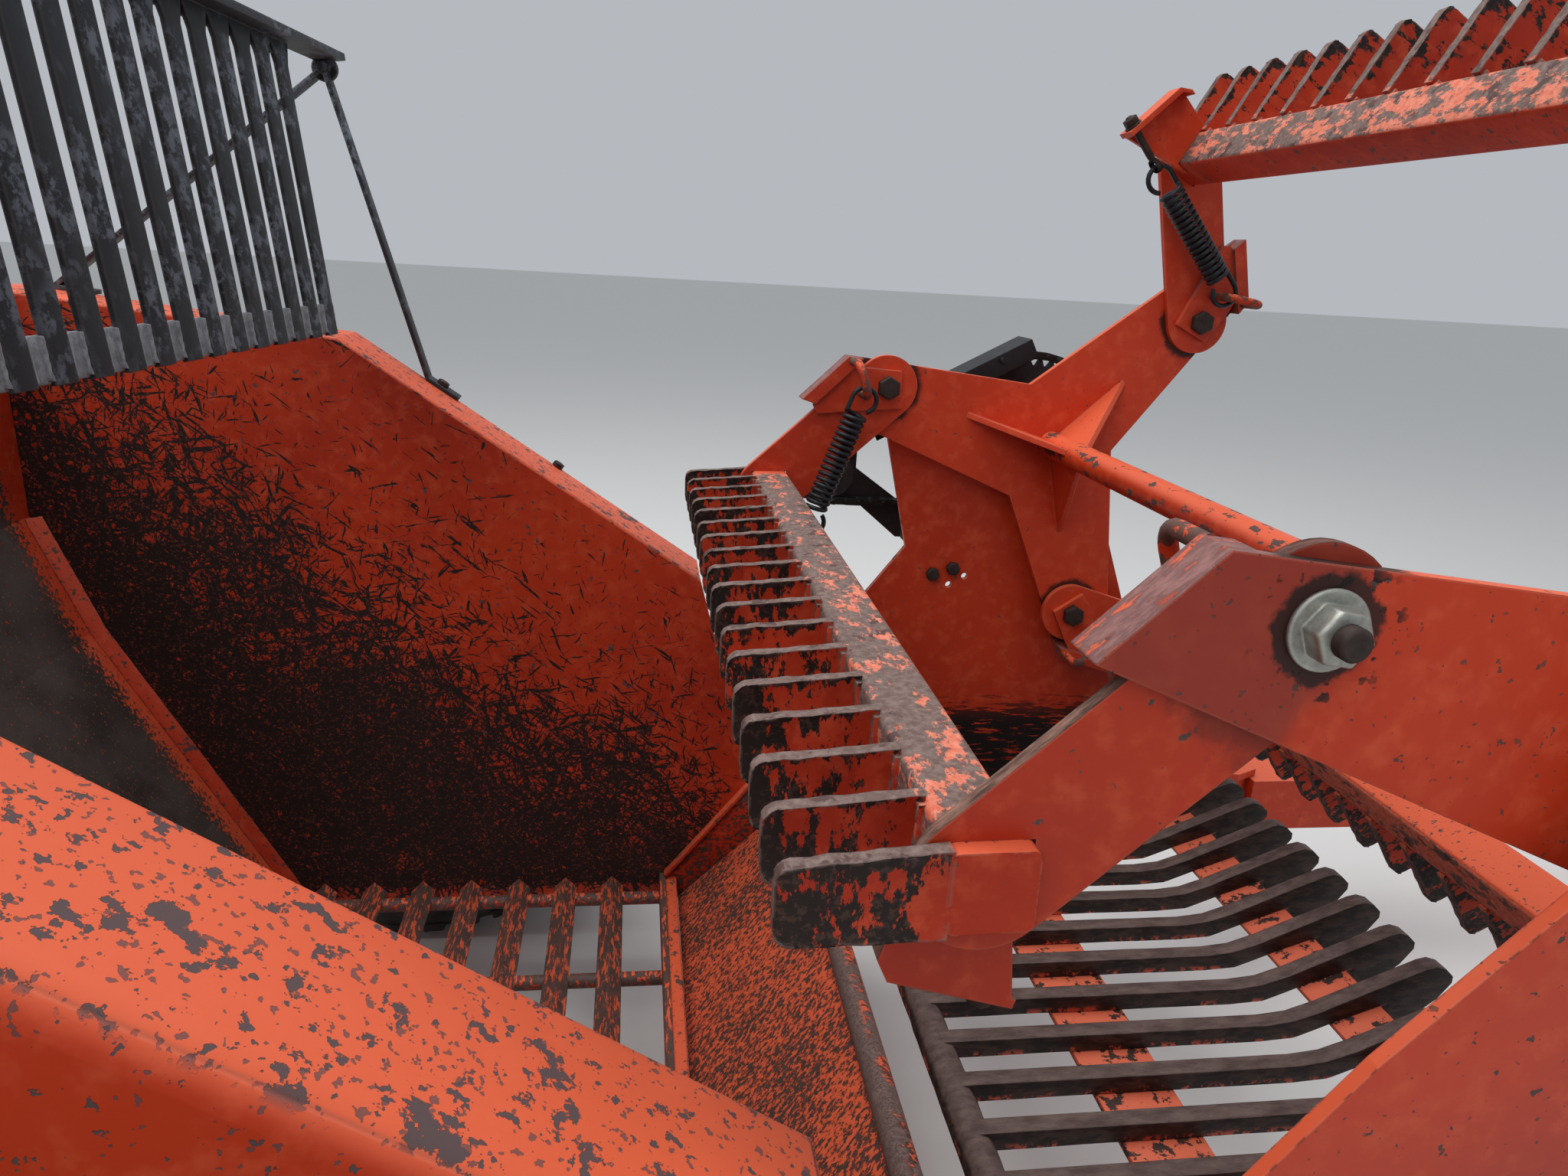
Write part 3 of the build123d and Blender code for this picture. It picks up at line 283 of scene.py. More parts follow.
def turned(profile, sides=24):
    """Piece turned on a lathe round Z from (radius, height) pairs; one off the axis is closed to a ring."""
    if profile[0][0] > 0 and profile[-1] != profile[0]:
        profile = profile + [profile[0]]
    trace([Vector((radius, 0, height)) for radius, height in profile])
    bpy.ops.mesh.select_all(action="SELECT")
    bpy.ops.mesh.spin(steps=sides, angle=2 * pi, center=(0, 0, 0), axis=(0, 0, 1))
    leave(False)
    smooth(35)
    return taken()


def puck(radius, half, sides):
    """Short round bar on Z, its middle at zero."""
    return turned([(0.0, -half), (radius, -half), (radius, half), (0.0, half)], sides)


def drill(plate, radius, half, way):
    """Cut a round hole through a plate, set down by a matrix."""
    cutter = puck(radius, half, 20)
    cutter.data.transform(way)
    modify(plate, "BOOLEAN", operation="DIFFERENCE", object=cutter, solver="EXACT")
    bpy.data.objects.remove(cutter)


def hexagon(across_flats, thick, crown=0.12):
    """Hexagon head or nut that stands on zero, its top chamfered to a round."""
    deselect()
    radius = across_flats / 2 / cos(pi / 6)
    bpy.ops.mesh.primitive_cylinder_add(vertices=6, radius=radius, depth=thick, location=(0, 0, thick / 2))
    still()
    edit()
    pick("FACE", lambda middle, normal: normal.z > 0.9)
    bpy.ops.mesh.inset(thickness=radius * crown)
    bpy.ops.transform.translate(value=(0, 0, radius * crown * 0.5))
    leave()
    return soften(taken(), across_flats * 0.03, 2, 20)


def slab(size, middle=(0, 0, 0)):
    """Cube brought to a size at a place, ready for edit mode."""
    deselect()
    bpy.ops.mesh.primitive_cube_add(size=1.0, location=middle)
    taken().scale = size
    still()
    return taken()


def unfold(node, name):
    """Copy of a node's mesh with its triangles merged back into whole faces."""
    piece = node.copy()
    piece.data = node.data.copy()
    piece.name = name
    bpy.context.scene.collection.objects.link(piece)
    piece.parent = None
    for key in list(piece.keys()):
        del piece[key]
    take(piece)
    edit("VERT")
    bpy.ops.mesh.remove_doubles(threshold=0.00005)
    bpy.ops.mesh.dissolve_limited(angle_limit=radians(0.6))
    bpy.ops.object.mode_set(mode="OBJECT")
    return piece


# Finishes

class Surface:
    """One material's node tree, with short words for the nodes that the finishes share."""

    def __init__(self, name, edge=0.003):
        self.material = bpy.data.materials.new(name)
        self.material.use_nodes = True
        self.tree = self.material.node_tree
        self.shader = self.tree.nodes["Principled BSDF"]
        self.shader.inputs["Specular IOR Level"].default_value = 0.3
        coordinates = self.tree.nodes.new("ShaderNodeTexCoord")
        self.place = coordinates.outputs["Object"]
        self.normal = coordinates.outputs["Normal"]
        self.rounded = None
        if edge:
            bevel = self.tree.nodes.new("ShaderNodeBevel")
            bevel.samples = 4
            bevel.inputs["Radius"].default_value = edge
            self.rounded = bevel.outputs["Normal"]

    def link(self, value, socket):
        if isinstance(value, bpy.types.NodeSocket):
            self.tree.links.new(value, socket)
        else:
            socket.default_value = value

    def shift(self, offset=(0, 0, 0), turn=(0, 0, 0), scale=(1, 1, 1), source=None):
        """Place moved, turned or stretched before a pattern reads it."""
        node = self.tree.nodes.new("ShaderNodeMapping")
        node.vector_type = "POINT"
        self.tree.links.new(source or self.place, node.inputs["Vector"])
        node.inputs["Location"].default_value = offset
        node.inputs["Rotation"].default_value = turn
        node.inputs["Scale"].default_value = scale
        return node.outputs["Vector"]

    def noise(self, scale, detail=4.0, rough=0.6, bend=0.0, place=None):
        node = self.tree.nodes.new("ShaderNodeTexNoise")
        self.tree.links.new(place or self.place, node.inputs["Vector"])
        node.inputs["Scale"].default_value = scale
        node.inputs["Detail"].default_value = detail
        node.inputs["Roughness"].default_value = rough
        node.inputs["Distortion"].default_value = bend
        return node.outputs["Fac"]

    def strokes(self, scale, detail, rough, source=None, bend=0.0):
        """Noise drawn out into strokes: the scale is strokes to the metre along each axis."""
        return self.noise(1.0, detail, rough, bend, self.shift(scale=scale, source=source))

    def band(self, value, low, high):
        """0 below low, 1 above high, smooth between; the other way round where low is above high."""
        node = self.tree.nodes.new("ShaderNodeMapRange")
        node.interpolation_type = "SMOOTHSTEP"
        self.link(value, node.inputs["Value"])
        self.link(low, node.inputs["From Min"])
        self.link(high, node.inputs["From Max"])
        return node.outputs["Result"]

    def sum(self, kind, a, b=0.0):
        node = self.tree.nodes.new("ShaderNodeMath")
        node.operation = kind
        self.link(a, node.inputs[0])
        self.link(b, node.inputs[1])
        return node.outputs[0]

    def times(self, *values):
        result = values[0]
        for value in values[1:]:
            result = self.sum("MULTIPLY", result, value)
        return result

    def most(self, *values):
        """Greatest of the values."""
        result = values[0]
        for value in values[1:]:
            result = self.sum("MAXIMUM", result, value)
        return result

    def swing(self, noise, reach):
        """Noise swung about zero, by half the reach to each side."""
        return self.times(self.sum("SUBTRACT", noise, 0.5), reach)

    def spots(self, value, limit, soft=0.012):
        """1 where the value passes the limit, with a thin soft rim."""
        if isinstance(limit, bpy.types.NodeSocket):
            return self.band(value, limit, self.sum("ADD", limit, soft))
        return self.band(value, limit, limit + soft)

    def part(self, vector, way):
        """How much of a vector runs along a direction."""
        node = self.tree.nodes.new("ShaderNodeVectorMath")
        node.operation = "DOT_PRODUCT"
        self.tree.links.new(vector, node.inputs[0])
        node.inputs[1].default_value = way
        return node.outputs["Value"]

    def where(self, way, zero=REEL):
        """Distance of a place along a direction, from a given zero."""
        return self.sum("SUBTRACT", self.part(self.place, way), Vector(way).dot(zero))

    def faces(self, way, low, high):
        """1 where the surface faces a direction, from a low share of it to a high one."""
        return self.band(self.part(self.normal, way), low, high)

    def away(self, middle):
        """Distance from a line across the machine through a place."""
        node = self.tree.nodes.new("ShaderNodeVectorMath")
        node.operation = "DISTANCE"
        self.tree.links.new(self.shift(scale=(1, 0, 1)), node.inputs[0])
        node.inputs[1].default_value = (middle.x, 0.0, middle.z)
        return node.outputs["Value"]

    def sideways(self, low, high):
        """1 where the surface faces either side of the machine."""
        return self.band(self.sum("ABSOLUTE", self.part(self.normal, (0, 1, 0))), low, high)

    def edge(self, low=0.92, high=0.985):
        """1 near an edge of the solid, 0 on its faces."""
        geometry = self.tree.nodes.new("ShaderNodeNewGeometry")
        dot = self.tree.nodes.new("ShaderNodeVectorMath")
        dot.operation = "DOT_PRODUCT"
        self.tree.links.new(self.rounded, dot.inputs[0])
        self.tree.links.new(geometry.outputs["True Normal"], dot.inputs[1])
        return self.band(dot.outputs["Value"], high, low)

    def mix(self, share, a, b):
        """Colour a, turned to b by the share."""
        node = self.tree.nodes.new("ShaderNodeMix")
        node.data_type = "RGBA"
        self.link(share, node.inputs[0])
        self.link(a, node.inputs[6])
        self.link(b, node.inputs[7])
        return node.outputs[2]

    def blend(self, share, a, b):
        """Number a, turned to b by the share."""
        node = self.tree.nodes.new("ShaderNodeMix")
        self.link(share, node.inputs[0])
        self.link(a, node.inputs[2])
        self.link(b, node.inputs[3])
        return node.outputs[0]

    def finish(self, colour, roughness, height=None, depth=0.001, metallic=0.0):
        self.link(colour, self.shader.inputs["Base Color"])
        self.link(roughness, self.shader.inputs["Roughness"])
        self.link(metallic, self.shader.inputs["Metallic"])
        if height is not None:
            bump = self.tree.nodes.new("ShaderNodeBump")
            bump.inputs["Distance"].default_value = depth
            self.link(height, bump.inputs["Height"])
            if self.rounded:
                self.tree.links.new(self.rounded, bump.inputs["Normal"])
            self.tree.links.new(bump.outputs["Normal"], self.shader.inputs["Normal"])
        return self.material


def rgb(red, green, blue):
    """A colour given as it is seen, from 0 to 255, in the renderer's linear numbers."""
    def linear(level):
        share = level / 255
        return share / 12.92 if share <= 0.04045 else ((share + 0.055) / 1.055) ** 2.4
    return (linear(red), linear(green), linear(blue), 1.0)


ORANGE = rgb(196, 58, 24)
ORANGE_PALE = rgb(222, 100, 64)
ORANGE_DEEP = rgb(166, 44, 18)
SALMON = rgb(214, 120, 96)
CHIP = rgb(84, 66, 62)
CHIP_RIM = rgb(126, 62, 48)
WORN_STEEL = rgb(100, 78, 72)
WORN_PALE = rgb(132, 112, 104)
SOOT_AND_SHADE = rgb(34, 26, 23)
GREASE_AND_SHADE = rgb(24, 17, 15)


def paint_base(s):
    """The orange paint itself: uneven, and paler towards salmon where it faces the sky, partly dust and
    fading, partly a painted highlight on the lit tops.
    """
    broad = s.noise(1.9, 3.0, 0.5)
    fine = s.noise(42.0, 5.0, 0.6)
    tone = s.mix(s.band(broad, 0.3, 0.7), ORANGE_DEEP, ORANGE)
    tone = s.mix(s.times(s.band(fine, 0.45, 0.75), 0.35), tone, ORANGE_PALE)
    # Up-facing surfaces turn paler: partly dust and fading, partly a painted highlight where the tops catch
    # the light.
    dust_and_top_light = s.times(s.faces((0, 0, 1), 0.1, 0.75), s.blend(broad, 0.65, 0.95))
    return s.mix(dust_and_top_light, tone, ORANGE_PALE), fine


def chips(s, amount):
    """Paint chips of three sizes; amount 0 is none, 1 is badly chipped."""
    ease = s.blend(s.noise(2.3, 2.0, 0.5), 0.03, -0.03)
    small = s.spots(s.noise(64.0, 4.0, 0.6), s.sum("ADD", ease, 0.72 - 0.09 * amount))
    large = s.spots(s.noise(27.0, 7.0, 0.66), s.sum("ADD", ease, 0.75 - 0.115 * amount))
    flecks = s.spots(s.noise(150.0, 2.0, 0.5), s.sum("ADD", ease, 0.735 - 0.08 * amount))
    return s.most(small, large, s.times(flecks, 0.8))


def paint_height(s, bare, grit=0.2):
    """Height of painted steel: fine grit, with the bare places lying deeper."""
    return s.sum("SUBTRACT", s.times(s.noise(160.0, 3.0, 0.6), grit), bare)


def orange_paint(name="orange_paint", amount=0.4, edge_wear=0.4, extra=None, extra_colour=GREASE_AND_SHADE):
    """Chipped orange paint. extra is a mask builder for dirt of its own colour."""
    s = Surface(name)
    tone, fine = paint_base(s)
    bare = chips(s, amount)
    rim = s.edge()
    # Edges are turned towards salmon: a painted highlight along them.
    tone = s.mix(s.times(rim, 0.55), tone, SALMON)
    worn = s.times(rim, s.spots(s.noise(70.0, 3.0, 0.6), 0.66 - 0.22 * edge_wear, 0.04))
    bare = s.most(bare, worn)
    colour = s.mix(bare, tone, CHIP)
    roughness = s.blend(bare, s.blend(fine, 0.38, 0.55), 0.8)
    if extra:
        mask = extra(s)
        colour = s.mix(mask, colour, extra_colour)
        roughness = s.blend(mask, roughness, 0.6)
    return s.finish(colour, roughness, paint_height(s, bare), 0.0005)


# Distances from the reel's middle plane between which a spider's outer plate, and its outer face, begin
OUTER_PLATE = (0.632, 0.635)
OUTER_FACE = (0.6465, 0.6475)


def spider_paint():
    """Spiders: grease round the pivots, a painted shadow in a ring round each pivot plate, a brown stain and
    rubbed edges towards the arms' ends.
    """
    s = Surface("spider_paint")
    tone, fine = paint_base(s)
    y = s.sum("ABSOLUTE", s.where((0, 1, 0)))
    on_plate = s.band(y, *OUTER_PLATE)
    on_front = s.band(y, *OUTER_FACE)
    ragged = s.swing(s.noise(38.0, 4.0, 0.7), 0.028)
    splash = s.spots(s.noise(55.0, 3.0, 0.6), 0.60, 0.03)
    rings, stains, ends = [], [], []
    for arm in range(ARM_COUNT):
        spread = s.sum("ADD", s.away(on_arm(PIVOT_OUT, 0.0, arm, 0.0)), ragged)
        # Ring of painted shadow on the plate round the pivot plate, where the gap between them lies in shade;
        # the ring on the outer face and its splashes are grease.
        behind = s.times(on_plate, s.sum("SUBTRACT", 1.0, on_front), s.band(spread, 0.072, 0.060))
        ring = s.times(on_front, s.band(spread, 0.042, 0.036))
        splashes = s.times(on_front, splash, s.band(spread, 0.066, 0.045))
        rings += [behind, ring, splashes]
        out = s.where(tuple(arm_way(1, 0, arm)))
        drift = s.swing(s.noise(9.0, 3.0, 0.6), 0.10)
        stains.append(s.times(on_plate, s.band(s.sum("ADD", out, drift), 0.325, 0.352)))
        ends.append(s.band(out, 0.345, 0.365))
    edge_face = s.sideways(0.6, 0.4)
    tone = s.mix(s.times(s.most(*stains), 0.62), tone, rgb(112, 46, 40))
    bare = chips(s, 0.3)
    rim = s.edge()
    # Edges are turned towards salmon: a painted highlight along them.
    tone = s.mix(s.times(rim, 0.5), tone, SALMON)
    colour = s.mix(bare, tone, CHIP)
    rub = s.strokes((30, 90, 30), 5.0, 0.7)
    rubbed = s.mix(s.band(rub, 0.35, 0.65), rgb(92, 62, 60), rgb(150, 104, 98))
    colour = s.mix(s.times(edge_face, s.most(*ends), s.spots(rub, 0.36, 0.1)), colour, rubbed)
    # The grease, and the painted shadow round the pivot plates, are laid on last.
    colour = s.mix(s.times(s.most(*rings), 0.92), colour, GREASE_AND_SHADE)
    roughness = s.blend(bare, s.blend(fine, 0.45, 0.6), 0.8)
    return s.finish(colour, roughness, paint_height(s, bare), 0.0005)


def arm_paint():
    """Arms of the bats: clean flat sides, and edges that stones have rubbed down to brown steel."""
    s = Surface("bat_arm_paint")
    tone, fine = paint_base(s)
    edge_face = s.sideways(0.6, 0.4)
    first_arm = s.band(s.where(tuple(arm_way(1, 0, 0))), 0.1, 0.2)
    near = s.times(s.band(s.where((0, 1, 0)), -0.3, -0.4), first_arm)
    grain = s.strokes((28, 150, 28), 5.0, 0.7)
    brown = s.mix(s.band(grain, 0.35, 0.68), rgb(76, 54, 48), rgb(150, 112, 96))
    worn = s.times(edge_face, s.spots(s.noise(26.0, 5.0, 0.65), s.blend(near, 0.60, 0.30), 0.05))
    # Edges are turned towards salmon: a painted highlight along them.
    tone = s.mix(s.times(s.edge(), 0.5), tone, SALMON)
    bare = chips(s, 0.15)
    colour = s.mix(worn, s.mix(bare, tone, CHIP), brown)
    grease = []
    for arm in range(ARM_COUNT):
        ragged = s.swing(s.noise(30.0, 4.0, 0.7), 0.10)
        spread = s.sum("ADD", s.away(on_arm(PIVOT_OUT, 0.0, arm, 0.0)), ragged)
        grease.append(s.band(spread, 0.115, 0.080))
    colour = s.mix(s.times(s.most(*grease), 0.55, near), colour, rgb(70, 28, 24))
    height = s.sum("ADD", s.times(worn, grain), s.times(fine, 0.2))
    return s.finish(colour, s.blend(worn, s.blend(fine, 0.45, 0.6), 0.8), height, 0.0012)


# Limits of each bat's wear: paint left on its tube, mid-length and near its ends, and dark streaks down its
# fingers' sides, where they are few and where they are many
BAT_WEAR = (((0.570, 0.515), (0.565, 0.465)), ((0.46, 0.45), (0.53, 0.45)), ((0.515, 0.500), (0.60, 0.54)))


def bat_paint(arm):
    """A bat's paint: its tube and the fingers' edges worn to brown steel, the fingers' sides streaked."""
    s = Surface(f"worn_bat_{arm + 1}")
    paint_left, streaks = BAT_WEAR[arm]
    angle, out_way, up_way = bat_frame(arm)
    middle = on_arm(*BAT_AT, arm, 0.0)
    tone, fine = paint_base(s)
    out, up = s.where(tuple(out_way), middle), s.where(tuple(up_way), middle)
    y = s.sum("ABSOLUTE", s.where((0, 1, 0)))
    on_side = s.sideways(0.45, 0.75)
    back = s.faces(tuple(out_way), -0.55, -0.8)
    on_finger = s.band(out, TUBE_HALF + 0.004, TUBE_HALF + 0.010)
    grain = s.noise(120.0, 6.0, 0.7)
    steel = s.mix(s.band(grain, 0.35, 0.7), WORN_STEEL, WORN_PALE)
    steel = s.mix(s.spots(s.noise(34.0, 4.0, 0.6), 0.58, 0.05), steel, rgb(84, 62, 58))
    salmon = s.mix(s.band(grain, 0.3, 0.7), rgb(206, 100, 72), rgb(226, 140, 116))
    patch = s.noise(6.0, 2.0, 0.5)
    near_end = s.band(y, 0.35, 0.62)
    left = s.strokes((60, 32, 60), 8.0, 0.72)
    limit = s.sum("ADD", s.blend(near_end, *paint_left), s.swing(patch, 0.3))
    tube = s.mix(s.spots(left, limit, 0.02), steel, salmon)
    worn = s.mix(on_finger, tube, steel)
    streak = s.strokes((70, 12, 34), 7.0, 0.72, s.shift(turn=(0, angle, 0)))
    # Dark streaks on the fingers' sides grow denser towards the tips and in a band under the lips; the band
    # under the lips is a painted shadow.
    tip = s.times(s.band(out, 0.115, 0.150), 0.10)
    under = s.times(s.band(s.sum("ABSOLUTE", up), 0.020, 0.032), 0.10)
    root = s.times(s.band(out, 0.060, 0.038), -0.12)
    ease = s.sum("ADD", s.sum("ADD", tip, under), root)
    share = s.sum("SUBTRACT", s.blend(s.band(s.noise(11.0, 2.0, 0.5), 0.35, 0.65), *streaks), ease)
    dark = s.spots(streak, share, 0.02)
    streaked = s.mix(dark, tone, s.mix(s.spots(grain, 0.52, 0.05), SOOT_AND_SHADE, rgb(64, 46, 38)))
    by_end = s.band(y, BAT_HALF - 0.055, BAT_HALF - 0.045)
    cap = s.times(by_end, s.band(out, TUBE_HALF + 0.002, TUBE_HALF - 0.006))
    painted = s.mix(chips(s, 0.9), tone, CHIP)
    colour = s.mix(on_side, worn, streaked)
    colour = s.mix(back, colour, painted)
    colour = s.mix(cap, colour, s.mix(chips(s, 0.6), tone, rgb(104, 62, 54)))
    # Edges turn pale, worn steel along the bat; on the end caps they turn salmon, a painted highlight.
    rim = s.times(s.edge(), 0.6, s.spots(s.noise(60.0, 3.0, 0.6), 0.45, 0.08))
    colour = s.mix(rim, colour, s.mix(cap, WORN_PALE, SALMON))
    height = s.sum("ADD", s.times(grain, 0.6), s.times(s.noise(26.0, 3.0, 0.5), 0.9))
    return s.finish(colour, s.blend(fine, 0.58, 0.8), height, 0.0010)


# Line on the hopper's walls below which the paint is worn off: its rear end as x and z, and its slope
WEAR_REAR = (-1.743, 0.02)
WEAR_SLOPE = -0.700
# Where the wear fades: towards the front, just above the floor, and behind a slanting line in the rear corner
FADE_FRONT = (-0.545, -0.62)
FADE_FLOOR = (-0.965, -0.925)
FADE_CORNER = (-1.945, -1.905)
CORNER_SLOPE = 0.537
# Directions of the scratches, in degrees, with their strokes to the metre along and across
SCRATCHES = ((-72, 17, 120), (-40, 13, 130), (-24, 20, 110), (8, 16, 140), (48, 19, 125), (80, 24, 130))


def hopper_wear(s):
    """Scratches on the hopper's walls: a few up high, so many below that the wall is black."""
    x, z = s.where((1, 0, 0)), s.where((0, 0, 1))
    line = s.sum("ADD", s.times(s.sum("SUBTRACT", x, WEAR_REAR[0]), WEAR_SLOPE), WEAR_REAR[1])
    drift = s.swing(s.noise(3.1, 3.0, 0.6), 0.6)
    depth = s.sum("ADD", s.sum("SUBTRACT", line, z), drift)
    deep = s.band(depth, -0.46, 0.38)
    fade_floor = s.band(z, *FADE_FLOOR)
    corner = s.band(s.sum("ADD", s.times(z, CORNER_SLOPE), x), *FADE_CORNER)
    deep = s.times(deep, s.band(x, *FADE_FRONT), s.blend(fade_floor, 0.35, 1.0), s.blend(corner, 0.6, 1.0))
    limit = s.blend(deep, 0.682, 0.510)
    marks = []
    for i, (degrees, along, across) in enumerate(SCRATCHES):
        turned_place = s.shift(offset=(i * 1.7, i * 0.9, i * 2.3), turn=(0, radians(degrees), 0))
        stroke = s.strokes((along, across, across), 3.0, 0.6, turned_place, 0.35)
        marks.append(s.spots(stroke, limit, 0.02))
    dots = s.spots(s.noise(190.0, 4.0, 0.7), s.blend(deep, 0.76, 0.47), 0.03)
    return s.most(dots, *marks)


def hopper_paint(name, inner_way):
    """Hopper walls: chipped paint outside and on the rims, stone wear on the inner face."""
    s = Surface(name)
    tone, fine = paint_base(s)
    inner = s.times(s.faces(inner_way, 0.6, 0.8), hopper_wear(s))
    top = s.faces((0, 0, 1), 0.35, 0.7)
    bare = s.blend(top, chips(s, 0.55), chips(s, 1.25))
    rim = s.edge()
    # Edges are turned towards salmon: a painted highlight along them.
    tone = s.mix(s.times(rim, 0.5), tone, SALMON)
    bare = s.most(bare, s.times(rim, s.spots(s.noise(34.0, 4.0, 0.6), 0.55, 0.04)))
    colour = s.mix(bare, tone, rgb(88, 70, 70))
    soot = s.mix(s.spots(s.noise(210.0, 4.0, 0.7), 0.57, 0.04), rgb(36, 25, 22), rgb(108, 52, 40))
    colour = s.mix(inner, colour, soot)
    worn = s.most(bare, inner)
    roughness = s.blend(worn, s.blend(fine, 0.45, 0.6), 0.72)
    return s.finish(colour, roughness, paint_height(s, worn), 0.0005)


def rear_paint():
    """Hopper's rear: slope and lower back worn to dark slate, clean paint outside and behind the screen."""
    s = Surface("hopper_rear_paint")
    tone, fine = paint_base(s)
    y, z = s.where((0, 1, 0)), s.where((0, 0, 1))
    between_walls = s.band(s.sum("ABSOLUTE", y), 0.662, 0.560)
    low = s.band(z, 0.02, -0.20)
    inside = s.faces((1, 0, 0.2), 0.3, 0.6)
    dark = s.spots(s.noise(130.0, 6.0, 0.7), s.blend(s.times(between_walls, low, inside), 0.66, 0.34), 0.04)
    slate = s.mix(s.band(s.noise(5.0, 4.0, 0.6), 0.35, 0.65), rgb(52, 45, 41), rgb(78, 70, 66))
    slate = s.mix(s.spots(s.noise(240.0, 2.0, 0.6), 0.64, 0.05), slate, rgb(112, 98, 88))
    bare = chips(s, 0.6)
    colour = s.mix(bare, tone, CHIP)
    colour = s.mix(dark, colour, slate)
    roughness = s.blend(dark, s.blend(fine, 0.4, 0.55), 0.62)
    return s.finish(colour, roughness, paint_height(s, s.most(bare, dark), 0.3), 0.0005)


def side_plate_paint():
    """Side plates: clean paint, with black grease dragged along the bottom."""
    def dirt(s):
        drag = s.strokes((14, 14, 110), 6.0, 0.7)
        low = s.band(s.where((0, 0, 1)), -0.47, -0.60)
        return s.times(s.spots(drag, s.blend(low, 0.76, 0.40), 0.03), low)
    return orange_paint("side_plate_paint", 0.3, 0.5, dirt)


def floor_paint():
    """Hopper floor: angle bars with their ridges worn brown."""
    s = Surface("hopper_floor_paint")
    tone, fine = paint_base(s)
    streak = s.strokes((130, 30, 130), 6.0, 0.7)
    worn = s.spots(streak, s.blend(s.noise(9.0, 2.0, 0.5), 0.50, 0.40), 0.04)
    worn = s.most(worn, s.times(s.edge(0.9, 0.98), s.spots(s.noise(20.0, 3.0, 0.6), 0.38, 0.1)))
    colour = s.mix(worn, tone, s.mix(s.noise(60.0, 4.0, 0.6), rgb(58, 44, 38), WORN_STEEL))
    return s.finish(colour, s.blend(fine, 0.5, 0.7), s.sum("SUBTRACT", fine, worn), 0.0006)


def lip_paint():
    """Transfer lip: its plate rubbed in short slanting strokes, its nose worn to smooth steel."""
    s = Surface("transfer_lip_paint")
    tone, fine = paint_base(s)
    x, z = s.where((1, 0, 0)), s.where((0, 0, 1))
    mark = s.strokes((100, 170, 100), 7.0, 0.72, s.shift(turn=(0.5, radians(45), 0)))
    patch = s.band(s.noise(6.0, 3.0, 0.6), 0.35, 0.65)
    rubbed = s.spots(mark, s.blend(patch, 0.52, 0.46), 0.03)
    nose = s.times(s.band(z, -0.762, -0.748), s.band(x, -0.43, -0.445))
    nose = s.most(nose, s.times(s.band(z, -0.742, -0.735), s.spots(s.noise(30.0, 3.0, 0.6), 0.44, 0.06)))
    steel = s.mix(s.noise(70.0, 5.0, 0.7), rgb(88, 70, 66), rgb(128, 106, 98))
    colour = s.mix(rubbed, tone, s.mix(s.noise(90.0, 3.0, 0.6), rgb(52, 38, 34), rgb(92, 70, 62)))
    colour = s.mix(nose, colour, steel)
    return s.finish(colour, s.blend(fine, 0.5, 0.72), s.sum("SUBTRACT", s.times(fine, 0.5), rubbed), 0.0006)


# Heights below the reel, and places along the machine, between which the grate's finish changes
BARS_LOW = (-0.732, -0.742)
BARS_HIGH = (-0.7440, -0.7430)
BELOW_BARS = (-0.7442, -0.7448)
REAR_FLAT = ((-0.30, -0.29), (0.20, 0.19))
FRONT_FLAT = ((0.243, 0.246), (0.329, 0.327))
# Direction square to the bars' bent tips, and where along it the front flat begins below them
TIP_UP = (-0.3486, 0, 0.9373)
BELOW_TIPS = (-0.7580, -0.7586)


def grate_finish():
    """Grate bars: tops rubbed brown, sides dark, some paint left low down and on the cross flats."""
    s = Surface("worn_grate")
    tone, fine = paint_base(s)
    z = s.where((0, 0, 1))
    grain = s.noise(70.0, 6.0, 0.7, 0.0, s.shift(scale=(0.35, 1, 1)))
    top = s.faces((0, 0, 1), 0.3, 0.6)
    brown = s.mix(s.band(grain, 0.3, 0.7), rgb(70, 54, 50), rgb(104, 86, 80))
    side = s.mix(s.band(grain, 0.4, 0.62), rgb(30, 22, 19), rgb(66, 48, 42))
    left = s.times(s.band(z, *BARS_LOW), s.spots(s.noise(34.0, 6.0, 0.7), 0.52, 0.04))
    x = s.where((1, 0, 0))
    rear_flat = s.times(s.band(z, *BELOW_BARS), s.band(x, *REAR_FLAT[0]), s.band(x, *REAR_FLAT[1]))
    below_tips = s.band(s.where(TIP_UP), *BELOW_TIPS)
    front_flat = s.times(below_tips, s.band(x, *FRONT_FLAT[0]), s.band(x, *FRONT_FLAT[1]))
    painted = s.mix(s.spots(s.noise(40.0, 6.0, 0.7), 0.54, 0.02), s.mix(0.35, tone, SALMON), rgb(60, 42, 36))
    colour = s.mix(s.most(left, rear_flat), side, painted)
    colour = s.mix(s.times(top, s.band(z, *BARS_HIGH)), colour, brown)
    colour = s.mix(front_flat, colour, painted)
    height = s.sum("ADD", grain, s.times(s.noise(18.0, 2.0, 0.5), 1.2))
    return s.finish(colour, 0.62, height, 0.0012)


def screen_finish():
    """Screen's bare bars: blue-black with a mottled bloom."""
    s = Surface("screen_steel")
    mottle = s.noise(46.0, 7.0, 0.72)
    tone = s.mix(s.band(mottle, 0.47, 0.58), rgb(30, 33, 38), rgb(98, 104, 114))
    tone = s.mix(s.band(s.noise(9.0, 3.0, 0.6), 0.42, 0.60), tone, rgb(40, 42, 46))
    # Edges are turned pale grey: a painted highlight along them.
    tone = s.mix(s.times(s.edge(), 0.5), tone, rgb(116, 112, 108))
    return s.finish(tone, s.blend(mottle, 0.45, 0.7), mottle, 0.0006)


